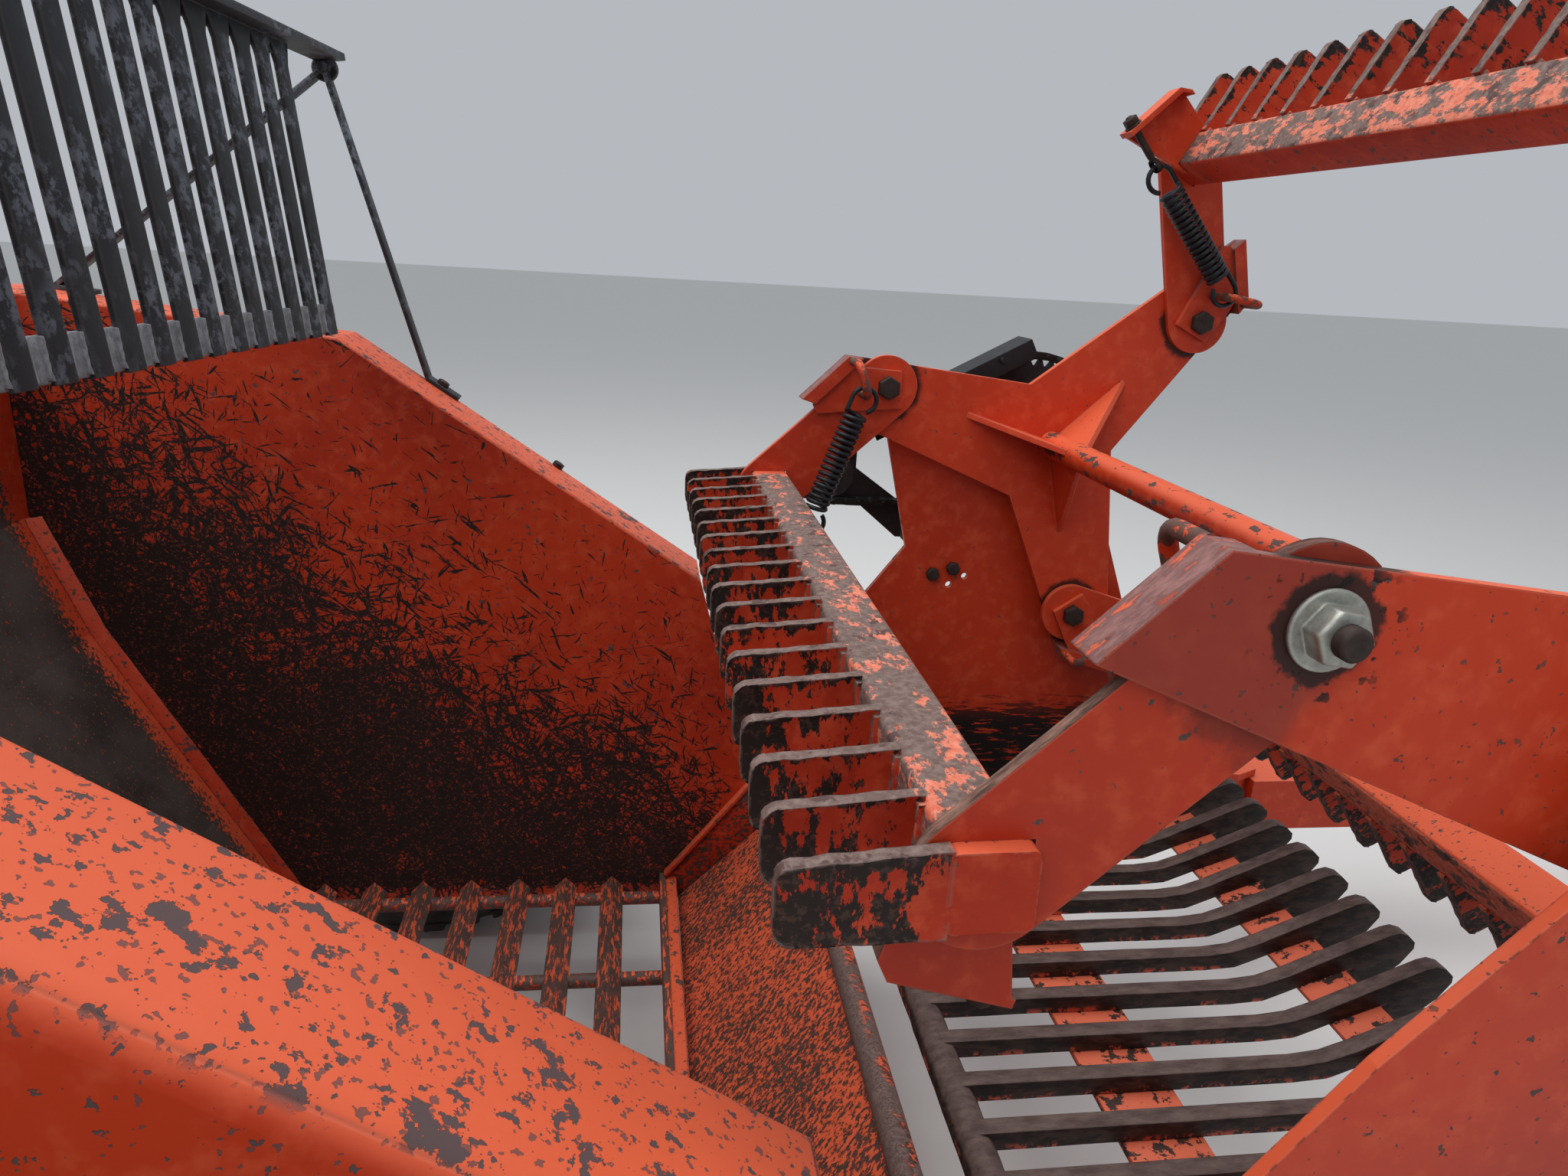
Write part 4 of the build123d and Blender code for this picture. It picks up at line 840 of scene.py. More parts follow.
def shaft_finish():
    """Reel shaft: orange paint, chipped more towards its near end."""
    s = Surface("shaft_paint")
    tone, fine = paint_base(s)
    near = s.band(s.where((0, 1, 0)), -0.1, -0.55)
    marks = s.strokes((52, 26, 52), 5.0, 0.66)
    bare = s.spots(marks, s.blend(near, 0.570, 0.495), 0.015)
    colour = s.mix(bare, tone, CHIP)
    return s.finish(colour, s.blend(bare, 0.42, 0.8), s.sum("SUBTRACT", s.times(fine, 0.2), bare), 0.0005)


def rusty_rod():
    """Loops under the springs: paint worn through to brown, rusty steel."""
    s = Surface("rusty_rod", 0)
    tone, fine = paint_base(s)
    bare = s.spots(s.noise(46.0, 5.0, 0.7), 0.44, 0.04)
    brown = s.mix(s.noise(90.0, 4.0, 0.6), rgb(66, 44, 38), rgb(120, 84, 74))
    return s.finish(s.mix(bare, tone, brown), 0.7, s.sum("ADD", fine, bare), 0.0006)


def plain_metal(name, colour, roughness, metallic, speck=0.3, grain_size=70.0):
    s = Surface(name)
    grain = s.noise(grain_size, 5.0, 0.65)
    darker = tuple(level * (1 - speck) for level in colour[:3]) + (1.0,)
    brighter = tuple(min(1.0, level * 2.2) for level in colour[:3]) + (1.0,)
    tone = s.mix(s.band(grain, 0.3, 0.75), colour, darker)
    # Edges are turned brighter: a painted highlight along them.
    tone = s.mix(s.times(s.edge(), 0.25), tone, brighter)
    uneven = s.blend(grain, roughness * 0.8, min(1.0, roughness * 1.25))
    return s.finish(tone, uneven, grain, 0.0004, metallic)


def tyre_finish():
    """Black rubber, dusty between the ribs and on the sidewalls."""
    s = Surface("tyre_rubber")
    cloud = s.noise(7.0, 5.0, 0.7)
    tone = s.mix(s.band(cloud, 0.35, 0.7), rgb(30, 30, 31), rgb(74, 70, 64))
    return s.finish(tone, s.blend(cloud, 0.75, 0.95), s.noise(190.0, 3.0, 0.6), 0.0004)


FINISHES = {
    "orange_paint": orange_paint(),
    "spider_paint": spider_paint(),
    "arm_paint": arm_paint(),
    "hopper_left": hopper_paint("hopper_left_paint", (0, -1, 0)),
    "hopper_right": hopper_paint("hopper_right_paint", (0, 1, 0)),
    "screen_weld": plain_metal("screen_weld", rgb(140, 142, 146), 0.6, 0.1, 0.5, 90.0),
    "hopper_rear": rear_paint(),
    "hopper_floor": floor_paint(),
    "chipped": orange_paint("chipped_paint", 1.1, 0.9),
    "lip": lip_paint(),
    "side_plate": side_plate_paint(),
    "worn_grate": grate_finish(),
    "screen_steel": screen_finish(),
    "shaft": shaft_finish(),
    "rusty_rod": rusty_rod(),
    "black_steel": plain_metal("black_steel", rgb(30, 30, 32), 0.45, 0.0),
    "spring_black": plain_metal("spring_black", rgb(38, 40, 44), 0.38, 0.2, 0.4, 40.0),
    "bare_steel": plain_metal("bare_steel", rgb(120, 112, 106), 0.5, 0.8),
    "cast_iron": plain_metal("cast_iron", rgb(60, 60, 62), 0.65, 0.3),
    "dark_bolt": plain_metal("dark_bolt", rgb(58, 46, 42), 0.55, 0.2, 0.5),
    "zinc_bolts": plain_metal("zinc_bolts", rgb(172, 172, 164), 0.42, 0.75, 0.35, 120.0),
    "rim_paint": plain_metal("rim_paint", rgb(205, 200, 190), 0.45, 0.0, 0.1),
    "tyre": tyre_finish(),
    "chrome": plain_metal("chrome", rgb(200, 200, 202), 0.15, 1.0, 0.05),
}
for number in range(ARM_COUNT):
    FINISHES[f"bat_{number + 1}"] = bat_paint(number)

# Nodes that have a finish of their own; the others take their slot's
NODE_FINISH = {
    "spider_left": "spider_paint",
    "spider_right": "spider_paint",
    "bat_arms": "arm_paint",
    "bat_1": "bat_1",
    "bat_2": "bat_2",
    "bat_3": "bat_3",
    "hopper_wall_left": "hopper_left",
    "hopper_wall_right": "hopper_right",
    "hopper_rear": "hopper_rear",
    "hopper_floor": "hopper_floor",
    "transfer_lip": "lip",
    "side_plate_left": "side_plate",
    "side_plate_right": "side_plate",
    "reel_shaft": "shaft",
}


def dress_nodes():
    slots = {part["node"]: part["material_slot"] for part in frame["record"]["subparts"]}
    for name, node in nodes.items():
        finish = NODE_FINISH.get(name, slots[name])
        node.data.materials.clear()
        node.data.materials.append(FINISHES[finish])


# Springs of the bats, with the loops and eye bolts that hold them

# A spring's ends, out along its arm and across it, and its place to the side of the reel's middle
SPRING_Y = 0.568
SPRING_TOP = (0.391, 0.058)
SPRING_LOW = (0.402, 0.240)
SPRING_RUN = (SPRING_LOW[0] - SPRING_TOP[0], SPRING_LOW[1] - SPRING_TOP[1])
SPRING_WIRE = 0.0042
SPRING_MEAN = 0.0178
SPRING_TURNS = 17
HOOK_RUN = 0.026
HOOK_BEND = 0.022
LOOP_ROD = 0.0075
LOOP_BEND = 0.022
# Feet of the loop on the spider's stop and on its pivot plate, out along the arm and across it
LOOP_FEET = ((0.419, -0.024), (0.384, 0.024))
LOOP_REACH = 0.062
EYE_RING = 0.0125
EYE_WIRE = 0.0048
EYE_ROD = 0.0062
EYE_AT = 0.2905
EYE_END = 0.384
FLANGE_SEAT = 0.3665


def along_spring(across):
    """Place on a spring's line at a distance across its arm."""
    slope = SPRING_RUN[0] / SPRING_RUN[1]
    return SPRING_TOP[0] + slope * (across - SPRING_TOP[1]), across


def spring_stances(out, across):
    """Matrices along each spring's line, from one place out along its arm and across it."""
    return [stance(on_arm(out, across, arm, side * SPRING_Y), arm_way(*SPRING_RUN, arm), arm_way(1, 0, arm))
            for arm in range(ARM_COUNT) for side in (-1, 1)]


def spring_hook(length, far):
    """Hook bent up from the last coil, which opens to one side."""
    sign = 1.0 if far else -1.0
    start = (SPRING_MEAN, 0.0, length if far else 0.0)
    bend = ((-HOOK_BEND, 0, 0), (0, -sign, 0), 235)
    return bent_bar(start, (0, 0, sign), SPRING_WIRE, [HOOK_RUN, bend], 10)


def spring_model(length):
    """One spring round Z: coils from zero up to its length, with a hook at each end."""
    deselect()
    bpy.ops.mesh.primitive_circle_add(vertices=10, radius=SPRING_WIRE, location=(SPRING_MEAN, 0, 0),
                                      rotation=(pi / 2, 0, 0))
    still()
    coil = taken()
    modify(coil, "SCREW", angle=2 * pi, steps=22, render_steps=22, iterations=SPRING_TURNS,
           screw_offset=length / SPRING_TURNS)
    take(coil)
    edit("VERT")
    leave()
    smooth(60)
    return join([coil, spring_hook(length, False), spring_hook(length, True)], "spring")


def bat_springs():
    coils = copies(spring_model(hypot(*SPRING_RUN)), spring_stances(*SPRING_TOP), "coil_springs")
    finished(coils, FINISHES["spring_black"], "reel", "black_steel", "bat_springs")


def spring_loops():
    """Loops of round bar on the spiders that the springs' near hooks catch."""
    first, second = LOOP_FEET
    run = LOOP_REACH - LOOP_BEND
    back = run + PIVOT_SEAT - STOP_FACE
    loops = []
    for arm in range(ARM_COUNT):
        across = arm_way(second[0] - first[0], second[1] - first[1], arm)
        top = across.length - 2 * LOOP_BEND
        for side in (-1, 1):
            inward = Vector((0, -side, 0))
            axis = inward.cross(across)
            near_bend = (across.normalized() * LOOP_BEND, axis, 90)
            far_bend = (-inward * LOOP_BEND, axis, 90)
            foot = on_arm(*first, arm, side * STOP_FACE)
            loops.append(bent_bar(foot, inward, LOOP_ROD, [run, near_bend, top, far_bend, back]))
    finished(join(loops, "spring_loops"), FINISHES["rusty_rod"], "reel", "black_steel", "spring_rods")


def eye_bolt_model():
    """Eye bolt on Z, its ring round zero and its rod up to the foot."""
    deselect()
    bpy.ops.mesh.primitive_circle_add(vertices=10, radius=EYE_WIRE, location=(0, EYE_RING, 0),
                                      rotation=(0, pi / 2, 0))
    still()
    edit("EDGE")
    bpy.ops.transform.rotate(value=pi / 2, orient_axis="Z", center_override=(0, EYE_RING, 0))
    bpy.ops.mesh.spin(steps=24, angle=2 * pi, center=(0, 0, 0), axis=(1, 0, 0))
    leave(False)
    smooth(60)
    ring = taken()
    tall = EYE_END - EYE_AT
    rod = turned([(0.0, EYE_RING - 0.004), (EYE_ROD * 0.8, EYE_RING - 0.003), (EYE_ROD, EYE_RING + 0.006),
                  (EYE_ROD, tall - 0.0015), (EYE_ROD * 0.75, tall), (0.0, tall)], 14)
    seat = FLANGE_SEAT - EYE_AT
    washer_top = 0.0026
    nut = hexagon(0.0215, 0.0115)
    nut.data.transform(Matrix.Translation((0, 0, seat + washer_top)))
    washer = turned([(EYE_ROD, 0.0), (0.0145, 0.0), (0.0145, 0.0022), (EYE_ROD, washer_top)], 20)
    washer.data.transform(Matrix.Translation((0, 0, seat)))
    return join([ring, rod, nut, washer], "eye_bolt")


def eye_bolts():
    bolts = copies(eye_bolt_model(), spring_stances(*along_spring(EYE_AT)), "eye_bolts")
    finished(bolts, FINISHES["dark_bolt"], "reel", "black_steel")


# Pivot bolts

BOLT_FLATS = 0.0365
BOLT_HEAD = 0.014
SHANK = 0.012
STUB_END = 0.681
WASHER_THICK = 0.0042


def pivot_bolts():
    """Hexagon heads inside, and outside a washer, a nut and the thread's end."""
    inner, outer = [], []
    for arm in range(ARM_COUNT):
        for side in (-1, 1):
            inside = on_arm(PIVOT_OUT, 0, arm, side * PIVOT_SEAT)
            outside = on_arm(PIVOT_OUT, 0, arm, side * SPIDER_OUT)
            inner.append(stance(inside, (0, -side, 0), arm_way(1, 0.3, arm)))
            outer.append(stance(outside, (0, side, 0), arm_way(1, -0.4, arm)))
    heads = copies(hexagon(BOLT_FLATS, BOLT_HEAD), inner, "pivot_bolt_heads")
    finished(heads, FINISHES["dark_bolt"], "reel", "zinc_bolts", "bat_bolts")
    washer = turned([(SHANK, 0), (0.0285, 0), (0.029, 0.001), (0.029, 0.0034), (0.028, WASHER_THICK),
                     (SHANK, WASHER_THICK)], 36)
    washers = copies(washer, outer, "pivot_washers")
    on_washers = [matrix @ Matrix.Translation((0, 0, WASHER_THICK)) for matrix in outer]
    nuts = copies(hexagon(BOLT_FLATS, 0.017, 0.1), on_washers, "pivot_nuts")
    finished(join([washers, nuts], "pivot_nuts"), FINISHES["zinc_bolts"], "reel", "zinc_bolts")
    tall = STUB_END - SPIDER_OUT
    rounds = [(0.0, 0.0), (SHANK, 0.0), (SHANK, 0.020)]
    for i in range(5):
        rounds += [(SHANK * 0.94, 0.0215 + i * 0.002), (SHANK, 0.0225 + i * 0.002)]
    stub = turned(rounds + [(SHANK * 0.8, tall), (0.0, tall)], 20)
    finished(copies(stub, outer, "pivot_threads"), FINISHES["dark_bolt"], "reel", "zinc_bolts")


# Bats: square tubes with worn, lipped fingers

FINGER_COUNT = 18
FINGER_PITCH = 0.076
FINGER_THICK = 0.011
FINGER_REACH = 0.119
FINGER_TIP = 0.046
TUBE_ROUND = 0.007
BEAD_RADIUS = 0.0045


def finger_model(seed):
    """One finger, out along X from the tube, with both long edges hammered over into uneven lips."""
    finger = slab((FINGER_REACH + 0.002, FINGER_THICK, 2 * TUBE_HALF),
                  (TUBE_HALF + FINGER_REACH / 2 - 0.001, 0, 0))
    edit()
    pick("FACE", lambda middle, normal: normal.x > 0.9)
    tip = TUBE_HALF + FINGER_REACH
    bpy.ops.transform.resize(value=(1, 1, 0.86), center_override=(tip, 0, TUBE_HALF))
    pick("EDGE", lambda middle, run: abs(run.y) > 0.9 and middle.x > tip - 0.002)
    bpy.ops.mesh.bevel(offset=0.012, segments=4)
    for sign in (1, -1):
        pick("FACE", lambda middle, normal: normal.z * sign > 0.5 and middle.x > TUBE_HALF - 0.01)
        extrude((0, 0, sign * 0.0028))
        bpy.ops.transform.resize(value=(1, 1.28, 1), center_override=(0, 0, sign * TUBE_HALF))
    bpy.ops.mesh.select_all(action="SELECT")
    bpy.ops.mesh.remove_doubles(threshold=0.0001)
    cut_across([(TUBE_HALF + 0.010 + step * 0.012, 0, 0) for step in range(9)], (1, 0, 0))
    bpy.ops.mesh.normals_make_consistent(inside=False)
    pick("FACE", lambda middle, normal: abs(normal.z) > 0.6 and middle.x > TUBE_HALF + 0.004)
    bpy.ops.transform.vertex_random(offset=0.0011, uniform=0.2, seed=seed)
    bpy.ops.object.mode_set(mode="OBJECT")
    soften(finger, 0.0016, 2, 32)
    return finger


def tube_model():
    """Square tube along Y with rounded corners and a plate welded into each end."""
    tube = slab((2 * TUBE_HALF, 2 * BAT_HALF, 2 * TUBE_HALF))
    edit()
    pick("EDGE", lambda middle, run: abs(run.y) > 0.9)
    bpy.ops.mesh.bevel(offset=TUBE_ROUND, segments=4)
    cut_across([(0, BAT_HALF * (step / 6.0 - 1.0), 0) for step in range(1, 12)], (0, 1, 0))
    leave(False)
    smooth(40)
    return tube


def weld_bead(length, radius, seed, rough=0.28):
    """Uneven bead of weld, or a rough bar, along Y."""
    deselect()
    rings = max(4, int(length / (radius * 0.9)))
    bpy.ops.mesh.primitive_cylinder_add(vertices=10, radius=radius, depth=length, rotation=(pi / 2, 0, 0))
    still()
    edit()
    cut_across([(0, length * (step / rings - 0.5), 0) for step in range(1, rings)], (0, 1, 0))
    bpy.ops.transform.vertex_random(offset=radius * rough, seed=seed)
    leave(False)
    smooth(70)
    return taken()


def on_bat(arm, y):
    """Matrix that sets a piece down on a bat, its X out along the fingers, to the left of the middle."""
    angle, out, up = bat_frame(arm)
    turn = Matrix((out, out.cross(up) * -1, up)).transposed().to_4x4()
    return Matrix.Translation(on_arm(*BAT_AT, arm, 0.0) + Vector((0, y, 0))) @ turn


def bats():
    """The bats: three kinds of finger in turn on each tube, with a bead of weld on both sides of a finger."""
    fingers = [finger_model(seed) for seed in (3, 11, 27)]
    tube = tube_model()
    bead = weld_bead(2 * TUBE_HALF - 0.006, BEAD_RADIUS, 8)
    bead.data.transform(Matrix.Translation((TUBE_HALF + 0.0005, 0, 0)) @ ON_Y)
    last = FINGER_COUNT - 1
    for arm in range(ARM_COUNT):
        pieces = [twin_of(tube, on_bat(arm, 0.0))]
        for i in range(FINGER_COUNT):
            y = (i - last / 2) * FINGER_PITCH
            pieces.append(twin_of(fingers[(i * 2 + arm) % 3], on_bat(arm, y)))
            for side in (-1, 1):
                if (i, side) not in ((0, -1), (last, 1)):
                    pieces.append(twin_of(bead, on_bat(arm, y + side * (FINGER_THICK / 2 + 0.0005))))
        whole = join(pieces, f"bat_{arm + 1}_steel")
        take(whole)
        edit("VERT")
        bpy.ops.mesh.normals_make_consistent(inside=False)
        bpy.ops.object.mode_set(mode="OBJECT")
        finished(whole, FINISHES[f"bat_{arm + 1}"], "reel", "worn_bat", f"bat_{arm + 1}")
    for model in fingers + [tube, bead]:
        bpy.data.objects.remove(model)


# Drive chain and sprocket

CHAIN_Y = 0.766
CHAIN_PITCH = 0.0254
CHAIN_BIG = 0.152
CHAIN_SMALL = 0.0523
DRIVE = (-0.392, -0.095)
ROLLER = 0.0065
PIN = 0.0035
LINK_PLATE = 0.0024
# Side plates of the wide and the narrow links, from the chain's middle
LINK_SPREAD = (0.0088, 0.0060)


def chain_line():
    """Places of the chain's pins as x and z from the reel, a pitch apart round both sprockets."""
    run = hypot(*DRIVE)
    way = atan2(DRIVE[1], DRIVE[0])
    lean = asin((CHAIN_BIG - CHAIN_SMALL) / run)
    straight = run * cos(lean)
    off = way - pi / 2 + lean
    back = way + pi / 2 - lean
    big_arc = CHAIN_BIG * (pi + 2 * lean)
    small_arc = CHAIN_SMALL * (pi - 2 * lean)
    length = big_arc + small_arc + 2 * straight
    count = int(round(length / CHAIN_PITCH / 2)) * 2

    def round_sprocket(middle, radius, angle):
        return middle[0] + radius * cos(angle), middle[1] + radius * sin(angle)

    def between(first, last, share):
        return tuple(a + (b - a) * share for a, b in zip(first, last))

    shaft = (0.0, 0.0)
    below = (round_sprocket(shaft, CHAIN_BIG, off), round_sprocket(DRIVE, CHAIN_SMALL, off))
    above = (round_sprocket(DRIVE, CHAIN_SMALL, back), round_sprocket(shaft, CHAIN_BIG, back))
    places = []
    for i in range(count):
        s = i * length / count
        if s < big_arc:
            places.append(round_sprocket(shaft, CHAIN_BIG, off - pi - 2 * lean + s / CHAIN_BIG))
        elif s < big_arc + straight:
            places.append(between(*below, (s - big_arc) / straight))
        elif s < big_arc + straight + small_arc:
            places.append(round_sprocket(DRIVE, CHAIN_SMALL, off + (s - big_arc - straight) / CHAIN_SMALL))
        else:
            places.append(between(*above, (s - big_arc - straight - small_arc) / straight))
    return places


def link_model(spread):
    """Two side plates of one link along X, waisted between their round ends, with a roller at zero."""
    pieces = []
    for side in (-1, 1):
        plate = slab((CHAIN_PITCH + 0.013, LINK_PLATE, 0.0145), (CHAIN_PITCH / 2, side * spread, 0))
        edit()
        pick("EDGE", lambda middle, run: abs(run.y) > 0.9)
        bpy.ops.mesh.bevel(offset=0.0055, segments=3)
        leave(False)
        pieces.append(plate)
    for bar in (puck(ROLLER, 0.0075, 12), puck(PIN, 0.012, 10)):
        bar.data.transform(ON_Y)
        pieces.append(bar)
    return join(pieces, "link")


def chain():
    """Links of two widths in turn, each from its pin to the next one."""
    places = chain_line()
    across = Vector((0, 1, 0))
    stances = []
    for (x, z), (next_x, next_z) in zip(places, places[1:] + places[:1]):
        run = Vector((next_x - x, 0, next_z - z)).normalized()
        turn = Matrix((run, across, run.cross(across))).transposed().to_4x4()
        stances.append(Matrix.Translation(at(x, CHAIN_Y, z)) @ turn)
    wide, narrow = LINK_SPREAD
    links = [copies(link_model(wide), stances[::2], "wide")]
    links.append(copies(link_model(narrow), stances[1::2], "narrow"))
    finished(join(links, "chain_links"), FINISHES["black_steel"], "frame", "black_steel", "drive_chain")


SPROCKET_TEETH = 37
SPROCKET_ROOT = 0.133
SPROCKET_TIP = 0.1445
SPROCKET_HALF = 0.005
# Radius of the sprocket's holes, and their distance from its middle
SPROCKET_HOLE = 0.026
HOLE_OUT = 0.092
# Hub round the shaft, as radius and height
HUB = ((0.0255, -0.014), (0.053, -0.014), (0.055, -0.012), (0.055, 0.012), (0.053, 0.014), (0.0255, 0.014))


def sprocket():
    """Toothed disc on the reel's shaft, with its hub and four holes."""
    deselect()
    bpy.ops.mesh.primitive_circle_add(vertices=SPROCKET_TEETH * 4, radius=SPROCKET_ROOT, fill_type="NGON",
                                      rotation=(pi / 2, 0, 0))
    still()
    edit("VERT")
    shape = bmesh.from_edit_mesh(taken().data)
    shape.verts.ensure_lookup_table()
    rim = sorted((atan2(vert.co.z, vert.co.x), vert.index) for vert in shape.verts)
    raised = {index for i, (angle, index) in enumerate(rim) if i % 4 < 2}
    for vert in shape.verts:
        vert.select_set(vert.index in raised)
    shape.select_flush_mode()
    bmesh.update_edit_mesh(taken().data)
    grow = SPROCKET_TIP / SPROCKET_ROOT
    bpy.ops.transform.resize(value=(grow, 1, grow), center_override=(0, 0, 0))
    bpy.ops.mesh.select_mode(type="FACE")
    bpy.ops.mesh.select_all(action="SELECT")
    extrude((0, 2 * SPROCKET_HALF, 0))
    leave(False)
    disc = taken()
    disc.data.transform(Matrix.Translation((0, -SPROCKET_HALF, 0)))
    for quarter in range(4):
        angle = pi / 4 + quarter * pi / 2
        place = Vector((HOLE_OUT * cos(angle), 0, HOLE_OUT * sin(angle)))
        drill(disc, SPROCKET_HOLE, 0.02, Matrix.Translation(place) @ ON_Y)
    hub = turned(list(HUB), 36)
    hub.data.transform(ON_Y)
    whole = join([disc, hub], "toothed_sprocket")
    whole.data.transform(Matrix.Translation(at(0, CHAIN_Y, 0)))
    take(whole)
    smooth(30)
    finished(whole, FINISHES["cast_iron"], "reel", "bare_steel", "reel_sprocket")


# Hopper: walls with their rims bent round, and the strips in the rear corners

RIM_BEND = 0.024
SKIRT_OUT = 0.810
WALL_IN = 0.660
# Line of the rims, and of the hopper's rear, as x and z from the reel
RIM_LINE = ((-1.797, 0.188), (-1.275, 0.135), (-0.648, -0.283))
REAR_LINE = ((-1.797, -0.188), (-1.720, -0.394), (-1.408, -0.975))
CORNER_STRIP = 0.018


def rim_height(x):
    (x0, z0), (x1, z1) = RIM_LINE[:2] if x < RIM_LINE[1][0] else RIM_LINE[1:]
    return z0 + (x - x0) * (z1 - z0) / (x1 - x0)


def rim_run(x):
    """Direction of the rims' line at a place along the machine."""
    return Vector((0.001, 0, rim_height(x + 0.001) - rim_height(x))).normalized()


def on_rim(middle, run, y):
    """True for an edge that runs along the rims' line at a distance to the left of the reel's middle."""
    level = abs(middle.z - REEL.z - rim_height(middle.x - REEL.x)) < 0.004
    return level and abs(middle.y - REEL.y - y) < 0.001 and abs(run.y) < 0.1 and abs(run.x) > 0.5


def hopper_walls():
    for side, word in SIDES:
        wall = unfold(nodes[f"hopper_wall_{word}"], f"hopper_wall_{word}_bent")
        take(wall)
        edit()
        pick("EDGE", lambda middle, run: on_rim(middle, run, side * SKIRT_OUT))
        bpy.ops.mesh.bevel(offset=RIM_BEND, segments=6)
        pick("EDGE", lambda middle, run: on_rim(middle, run, side * WALL_IN))
        bpy.ops.mesh.bevel(offset=0.005, segments=3)
        bpy.ops.object.mode_set(mode="OBJECT")
        smooth(35)
        finished(wall, FINISHES[f"hopper_{word}"], "hopper", "orange_paint", f"hopper_wall_{word}")


# How far the corner strip's edge on the wall lies in from each point of the rear's line, as x and z
STRIP_INSET = ((0.020, 0.001), (0.018, 0.005), (0.016, 0.009))
# Line of the flanges at the walls' front ends, as x and z
FLANGE_LINE = ((-0.700, -0.925), (-0.530, -0.715))


def corner_strip(side):
    """Narrow strip welded across the corner between a wall and the hopper's rear."""
    points = [at(x, side * WALL_IN, z) for x, z in REAR_LINE]
    trace(points)
    bpy.ops.mesh.select_mode(type="EDGE")
    bpy.ops.mesh.select_all(action="SELECT")
    extrude((0, -side * CORNER_STRIP, 0))
    for point, (x, z) in zip(points, STRIP_INSET):
        pick("VERT", lambda place: (place - point).length < 0.0005)
        bpy.ops.transform.translate(value=(x, 0, z))
    bpy.ops.mesh.select_all(action="SELECT")
    bpy.ops.mesh.normals_make_consistent(inside=False)
    bpy.ops.object.mode_set(mode="OBJECT")
    return soften(modify(taken(), "SOLIDIFY", thickness=0.004, offset=0.0), 0.0015, 2)


def wall_flange(side):
    """Flat flange along the sloped front end of a wall."""
    (low_x, low_z), (high_x, high_z) = FLANGE_LINE
    run = at(high_x, 0, high_z) - at(low_x, 0, low_z)
    flange = slab((0.020, 0.008, run.length - 0.010))
    middle = at((low_x + high_x) / 2 - 0.004, side * (WALL_IN - 0.009), (low_z + high_z) / 2 + 0.003)
    flange.data.transform(stance(middle, run, (0, 1, 0)))
    return soften(flange, 0.002, 2)


def corner_strips():
    """Strips in the hopper's rear corners, flanges at the walls' front ends and the floor's front edge."""
    strips = []
    for side, word in SIDES:
        strips += [corner_strip(side), wall_flange(side)]
    edge = slab((0.026, 2 * WALL_IN - 0.004, 0.050), at(-0.690, 0, -0.950))
    strips.append(soften(edge, 0.004, 3))
    finished(join(strips, "corner_strips"), FINISHES["chipped"], "hopper", "orange_paint")


# Cheeks that close the gap between the lip and the hopper's walls
CHEEK = ((-0.697, -0.9275), (-0.527, -0.7175), (-0.440, -0.744), (-0.674, -0.976))
CHEEK_IN = 0.6522
CHEEK_THICK = 0.005


def lip_cheeks():
    plates = [soften(cut_plate(CHEEK, y, CHEEK_THICK), 0.001, 2) for y in (CHEEK_IN, -CHEEK_IN - CHEEK_THICK)]
    finished(join(plates, "lip_cheeks"), FINISHES["lip"], "frame", "orange_paint")


# Bolts on the hopper's rims: place along the machine, side, and thickness of the strut's foot that one holds
RIM_BOLTS = ((-1.146, 1, 0.0082), (-1.146, -1, 0.0082), (-1.750, 1, 0.0082), (-1.750, -1, 0.0082),
             (-0.921, 1, 0.0))
RIM_BOLT_Y = 0.786
# How far the middle of a strut's foot, with its bolt, lies ahead of the strut's own place
FOOT_AHEAD = 0.018


def rim_bolts():
    stances = []
    for x, side, foot in RIM_BOLTS:
        run = rim_run(x)
        ahead = x + FOOT_AHEAD if foot else x
        place = at(ahead, side * RIM_BOLT_Y, rim_height(ahead) + foot)
        stances.append(stance(place, (-run.z, 0, run.x)))
    bolts = copies(hexagon(0.019, 0.009), stances, "rim_bolts")
    finished(bolts, FINISHES["dark_bolt"], "hopper", "zinc_bolts")


# Grate: bars across the gap, their tips bent up, on two cross flats and a round bar at the rear

SIDE_IN = 0.686
BAR_COUNT = 17
BAR_PITCH = 0.080
BAR_THICK = 0.025
GRATE_ROD = (-0.343, -0.740)
ROD_RADIUS = 0.024
# Outline of a bar as x and z: its top from the rear to the tip, then back below, round the foot under the tip
BAR_REAR = -0.343
BAR_TOP = ((BAR_REAR, -0.716), (0.140, -0.716), (0.185, -0.711), (0.228, -0.696), (0.378, -0.631),
           (0.395, -0.627), (0.412, -0.632), (0.426, -0.645))
BAR_BELOW = ((0.427, -0.656), (0.409, -0.683), (0.352, -0.735), (0.343, -0.738), (0.330, -0.688),
             (0.228, -0.726), (0.190, -0.741), (0.140, -0.744), (BAR_REAR, -0.744))
# Cross flats below the bars: middle as x and z, width along the bars, and tilt in degrees
CROSS_FLATS = ((-0.092, -0.750, 0.112, 0.0), (0.285, -0.709, 0.078, 20.4))


